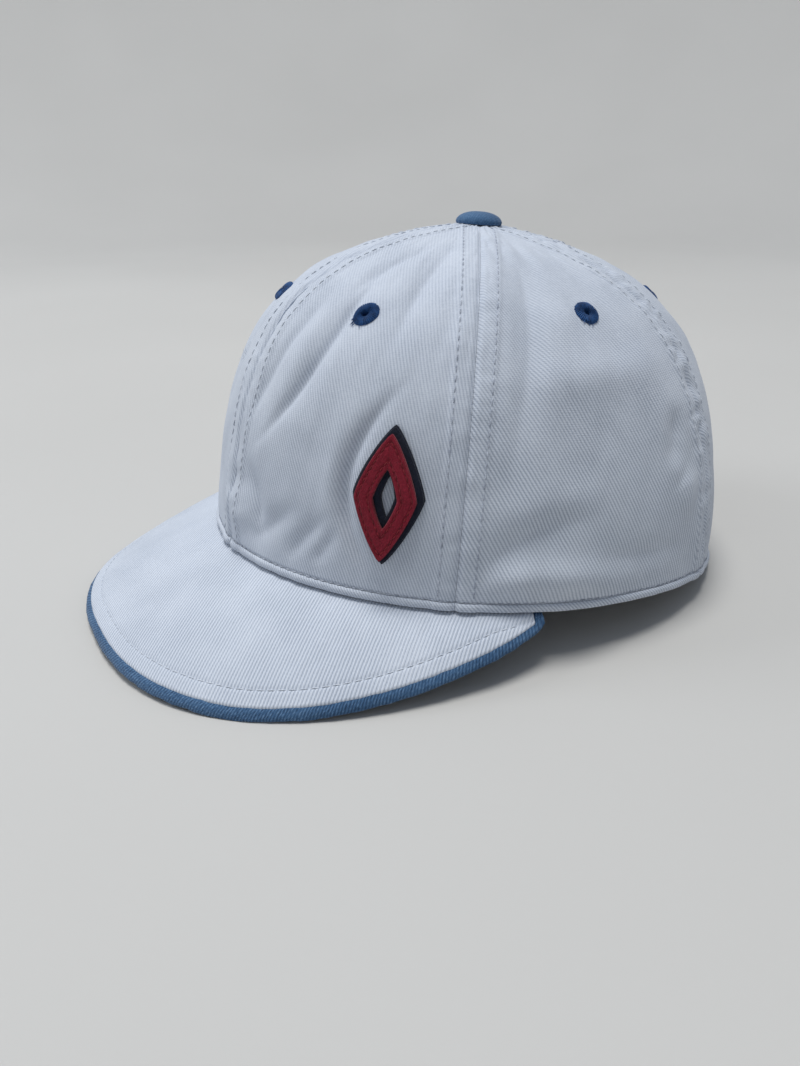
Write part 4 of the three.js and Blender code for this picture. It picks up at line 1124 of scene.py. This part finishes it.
def add_floor():
    """A pale floor that curves up far away, all round: height grows with the distance past a
    flat middle."""
    middle = np.linspace(0.001, FLOOR_FLAT, 12)
    r = np.concatenate([middle, np.linspace(FLOOR_FLAT, FLOOR_END, 40)[1:]])[:, None]
    a = np.linspace(0, 2 * np.pi, FLOOR_SIDES, endpoint=False)
    z = FLOOR_RISE * smoothstep(r, FLOOR_FLAT, FLOOR_CURVE_END) ** FLOOR_POWER
    points = vec(r * np.cos(a), r * np.sin(a), z + 0 * a)
    index = wrap(np.arange(points.size // 3).reshape(len(r), FLOOR_SIDES), 1)
    mesh = bpy.data.meshes.new("floor")
    centre = [list(range(FLOOR_SIDES - 1, -1, -1))]
    mesh.from_pydata(points.reshape(-1, 3), [], grid_faces(index).tolist() + centre)
    mesh.polygons.foreach_set("use_smooth", np.ones(len(mesh.polygons), bool))
    material, tree, shader = new_material("floor_paint")
    place = add(tree, "TexCoord").outputs["Object"]
    colour = ramp(tree, noise(tree, place, 3.0), list(zip((0.3, 0.7), FLOOR_TONES)))
    tree.links.new(colour, shader.inputs["Base Color"])
    shader.inputs["Roughness"].default_value = 0.8
    mesh.materials.append(material)
    floor = bpy.data.objects.new("floor", mesh)
    bpy.context.scene.collection.objects.link(floor)


def add_light(name, place, size, power, colour):
    """A round lamp that faces the cap and isn't seen itself."""
    light = bpy.data.lights.new(name, "AREA")
    light.shape = "DISK"
    light.size = size
    light.energy = power
    light.color = colour
    lamp = bpy.data.objects.new(name, light)
    lamp.location = place
    lamp.rotation_euler = (Vector((0, 0, 0.05)) - Vector(place)).to_track_quat("-Z", "Y").to_euler()
    lamp.visible_camera = False
    bpy.context.scene.collection.objects.link(lamp)


def add_sky():
    """Even light from all sides, and colours shown as they are."""
    world = bpy.context.scene.world or bpy.data.worlds.new("world")
    bpy.context.scene.world = world
    world.use_nodes = True
    background = world.node_tree.nodes["Background"]
    background.inputs["Color"].default_value = SKY_COLOUR
    background.inputs["Strength"].default_value = SKY_STRENGTH
    bpy.context.scene.view_settings.view_transform = "Standard"


def turned(v, axis, angle):
    return np.array(Matrix.Rotation(math.radians(angle), 3, Vector(axis)) @ Vector(v))


def add_camera():
    """The camera stands round the crown's middle and is then turned by yaw, pitch and roll."""
    a, e = math.radians(CAMERA_AZIMUTH), math.radians(CAMERA_ELEVATION)
    back = np.array([math.sin(a) * math.cos(e), -math.cos(a) * math.cos(e), math.sin(e)])
    place = np.array(LOOK_AT) + back * CAMERA_DISTANCE
    ahead = -back
    right = unit(np.cross(ahead, (0, 0, 1)))
    up = np.cross(right, ahead)
    ahead, right = turned(ahead, up, CAMERA_YAW), turned(right, up, CAMERA_YAW)
    ahead, up = turned(ahead, right, CAMERA_PITCH), turned(up, right, CAMERA_PITCH)
    right, up = turned(right, ahead, CAMERA_ROLL), turned(up, ahead, CAMERA_ROLL)
    data = bpy.data.cameras.new("camera")
    data.sensor_width = SENSOR
    data.lens = SENSOR * FOCAL_SHARE
    data.clip_start, data.clip_end = 0.01, 20
    camera = bpy.data.objects.new("camera", data)
    axes = np.stack([right, up, -ahead], -1)
    camera.matrix_world = Matrix.Translation(placed(place)) @ Matrix((REST_TURN @ axes).tolist()).to_4x4()
    bpy.context.scene.collection.objects.link(camera)
    bpy.context.scene.camera = camera


add_camera()
add_floor()
for light in LIGHTS:
    add_light(*light)
add_sky()
for panel in PANELS:
    add_panel(*panel)
    add_eyelet(panel[0])
add_peak()
add_button()
add_patch_layer("felt_base", "patch_base", PATCH_BASE, (0, 0), (),
                felt("navy_felt", *NAVY_FELT_TONES))
add_patch_layer("felt_top", "patch_top", PATCH_TOP, PATCH_TOP_SHIFT, PATCH_ROWS,
                felt("red_felt", *RED_FELT_TONES))
stitches("felt_stitches", patch_stitch_paths(), STITCHES["felt"], RED_THREAD, sink=0.1)
add_strap()
add_studs()
add_sweatband()
loose_threads("loose_thread_ends", LOOSE_ENDS, LOOSE_END_RADIUS, PALE_THREAD)
strands = [strand for name, count in EYELET_ENDS.items() for strand in eyelet_strands(name, count)]
loose_threads("eyelet_thread_ends", strands, EYELET_END_RADIUS, EYELET_THREAD)
side_seam, other_seams = SEAMS[1:2], SEAMS[:1] + SEAMS[2:]
stitches("side_seam_stitches", seam_paths(side_seam), STITCHES["side_seam"], GREY_THREAD)
stitches("seam_stitches", seam_paths(other_seams), STITCHES["seam"], PALE_THREAD)
stitches("hem_stitches", hem_path(), STITCHES["hem"], GREY_THREAD)
upper_row, lower_row = peak_stitch_paths()
stitches("peak_stitches", upper_row, STITCHES["peak"], PALE_THREAD)
stitches("lower_peak_stitches", lower_row, STITCHES["lower_peak"], GREY_THREAD)
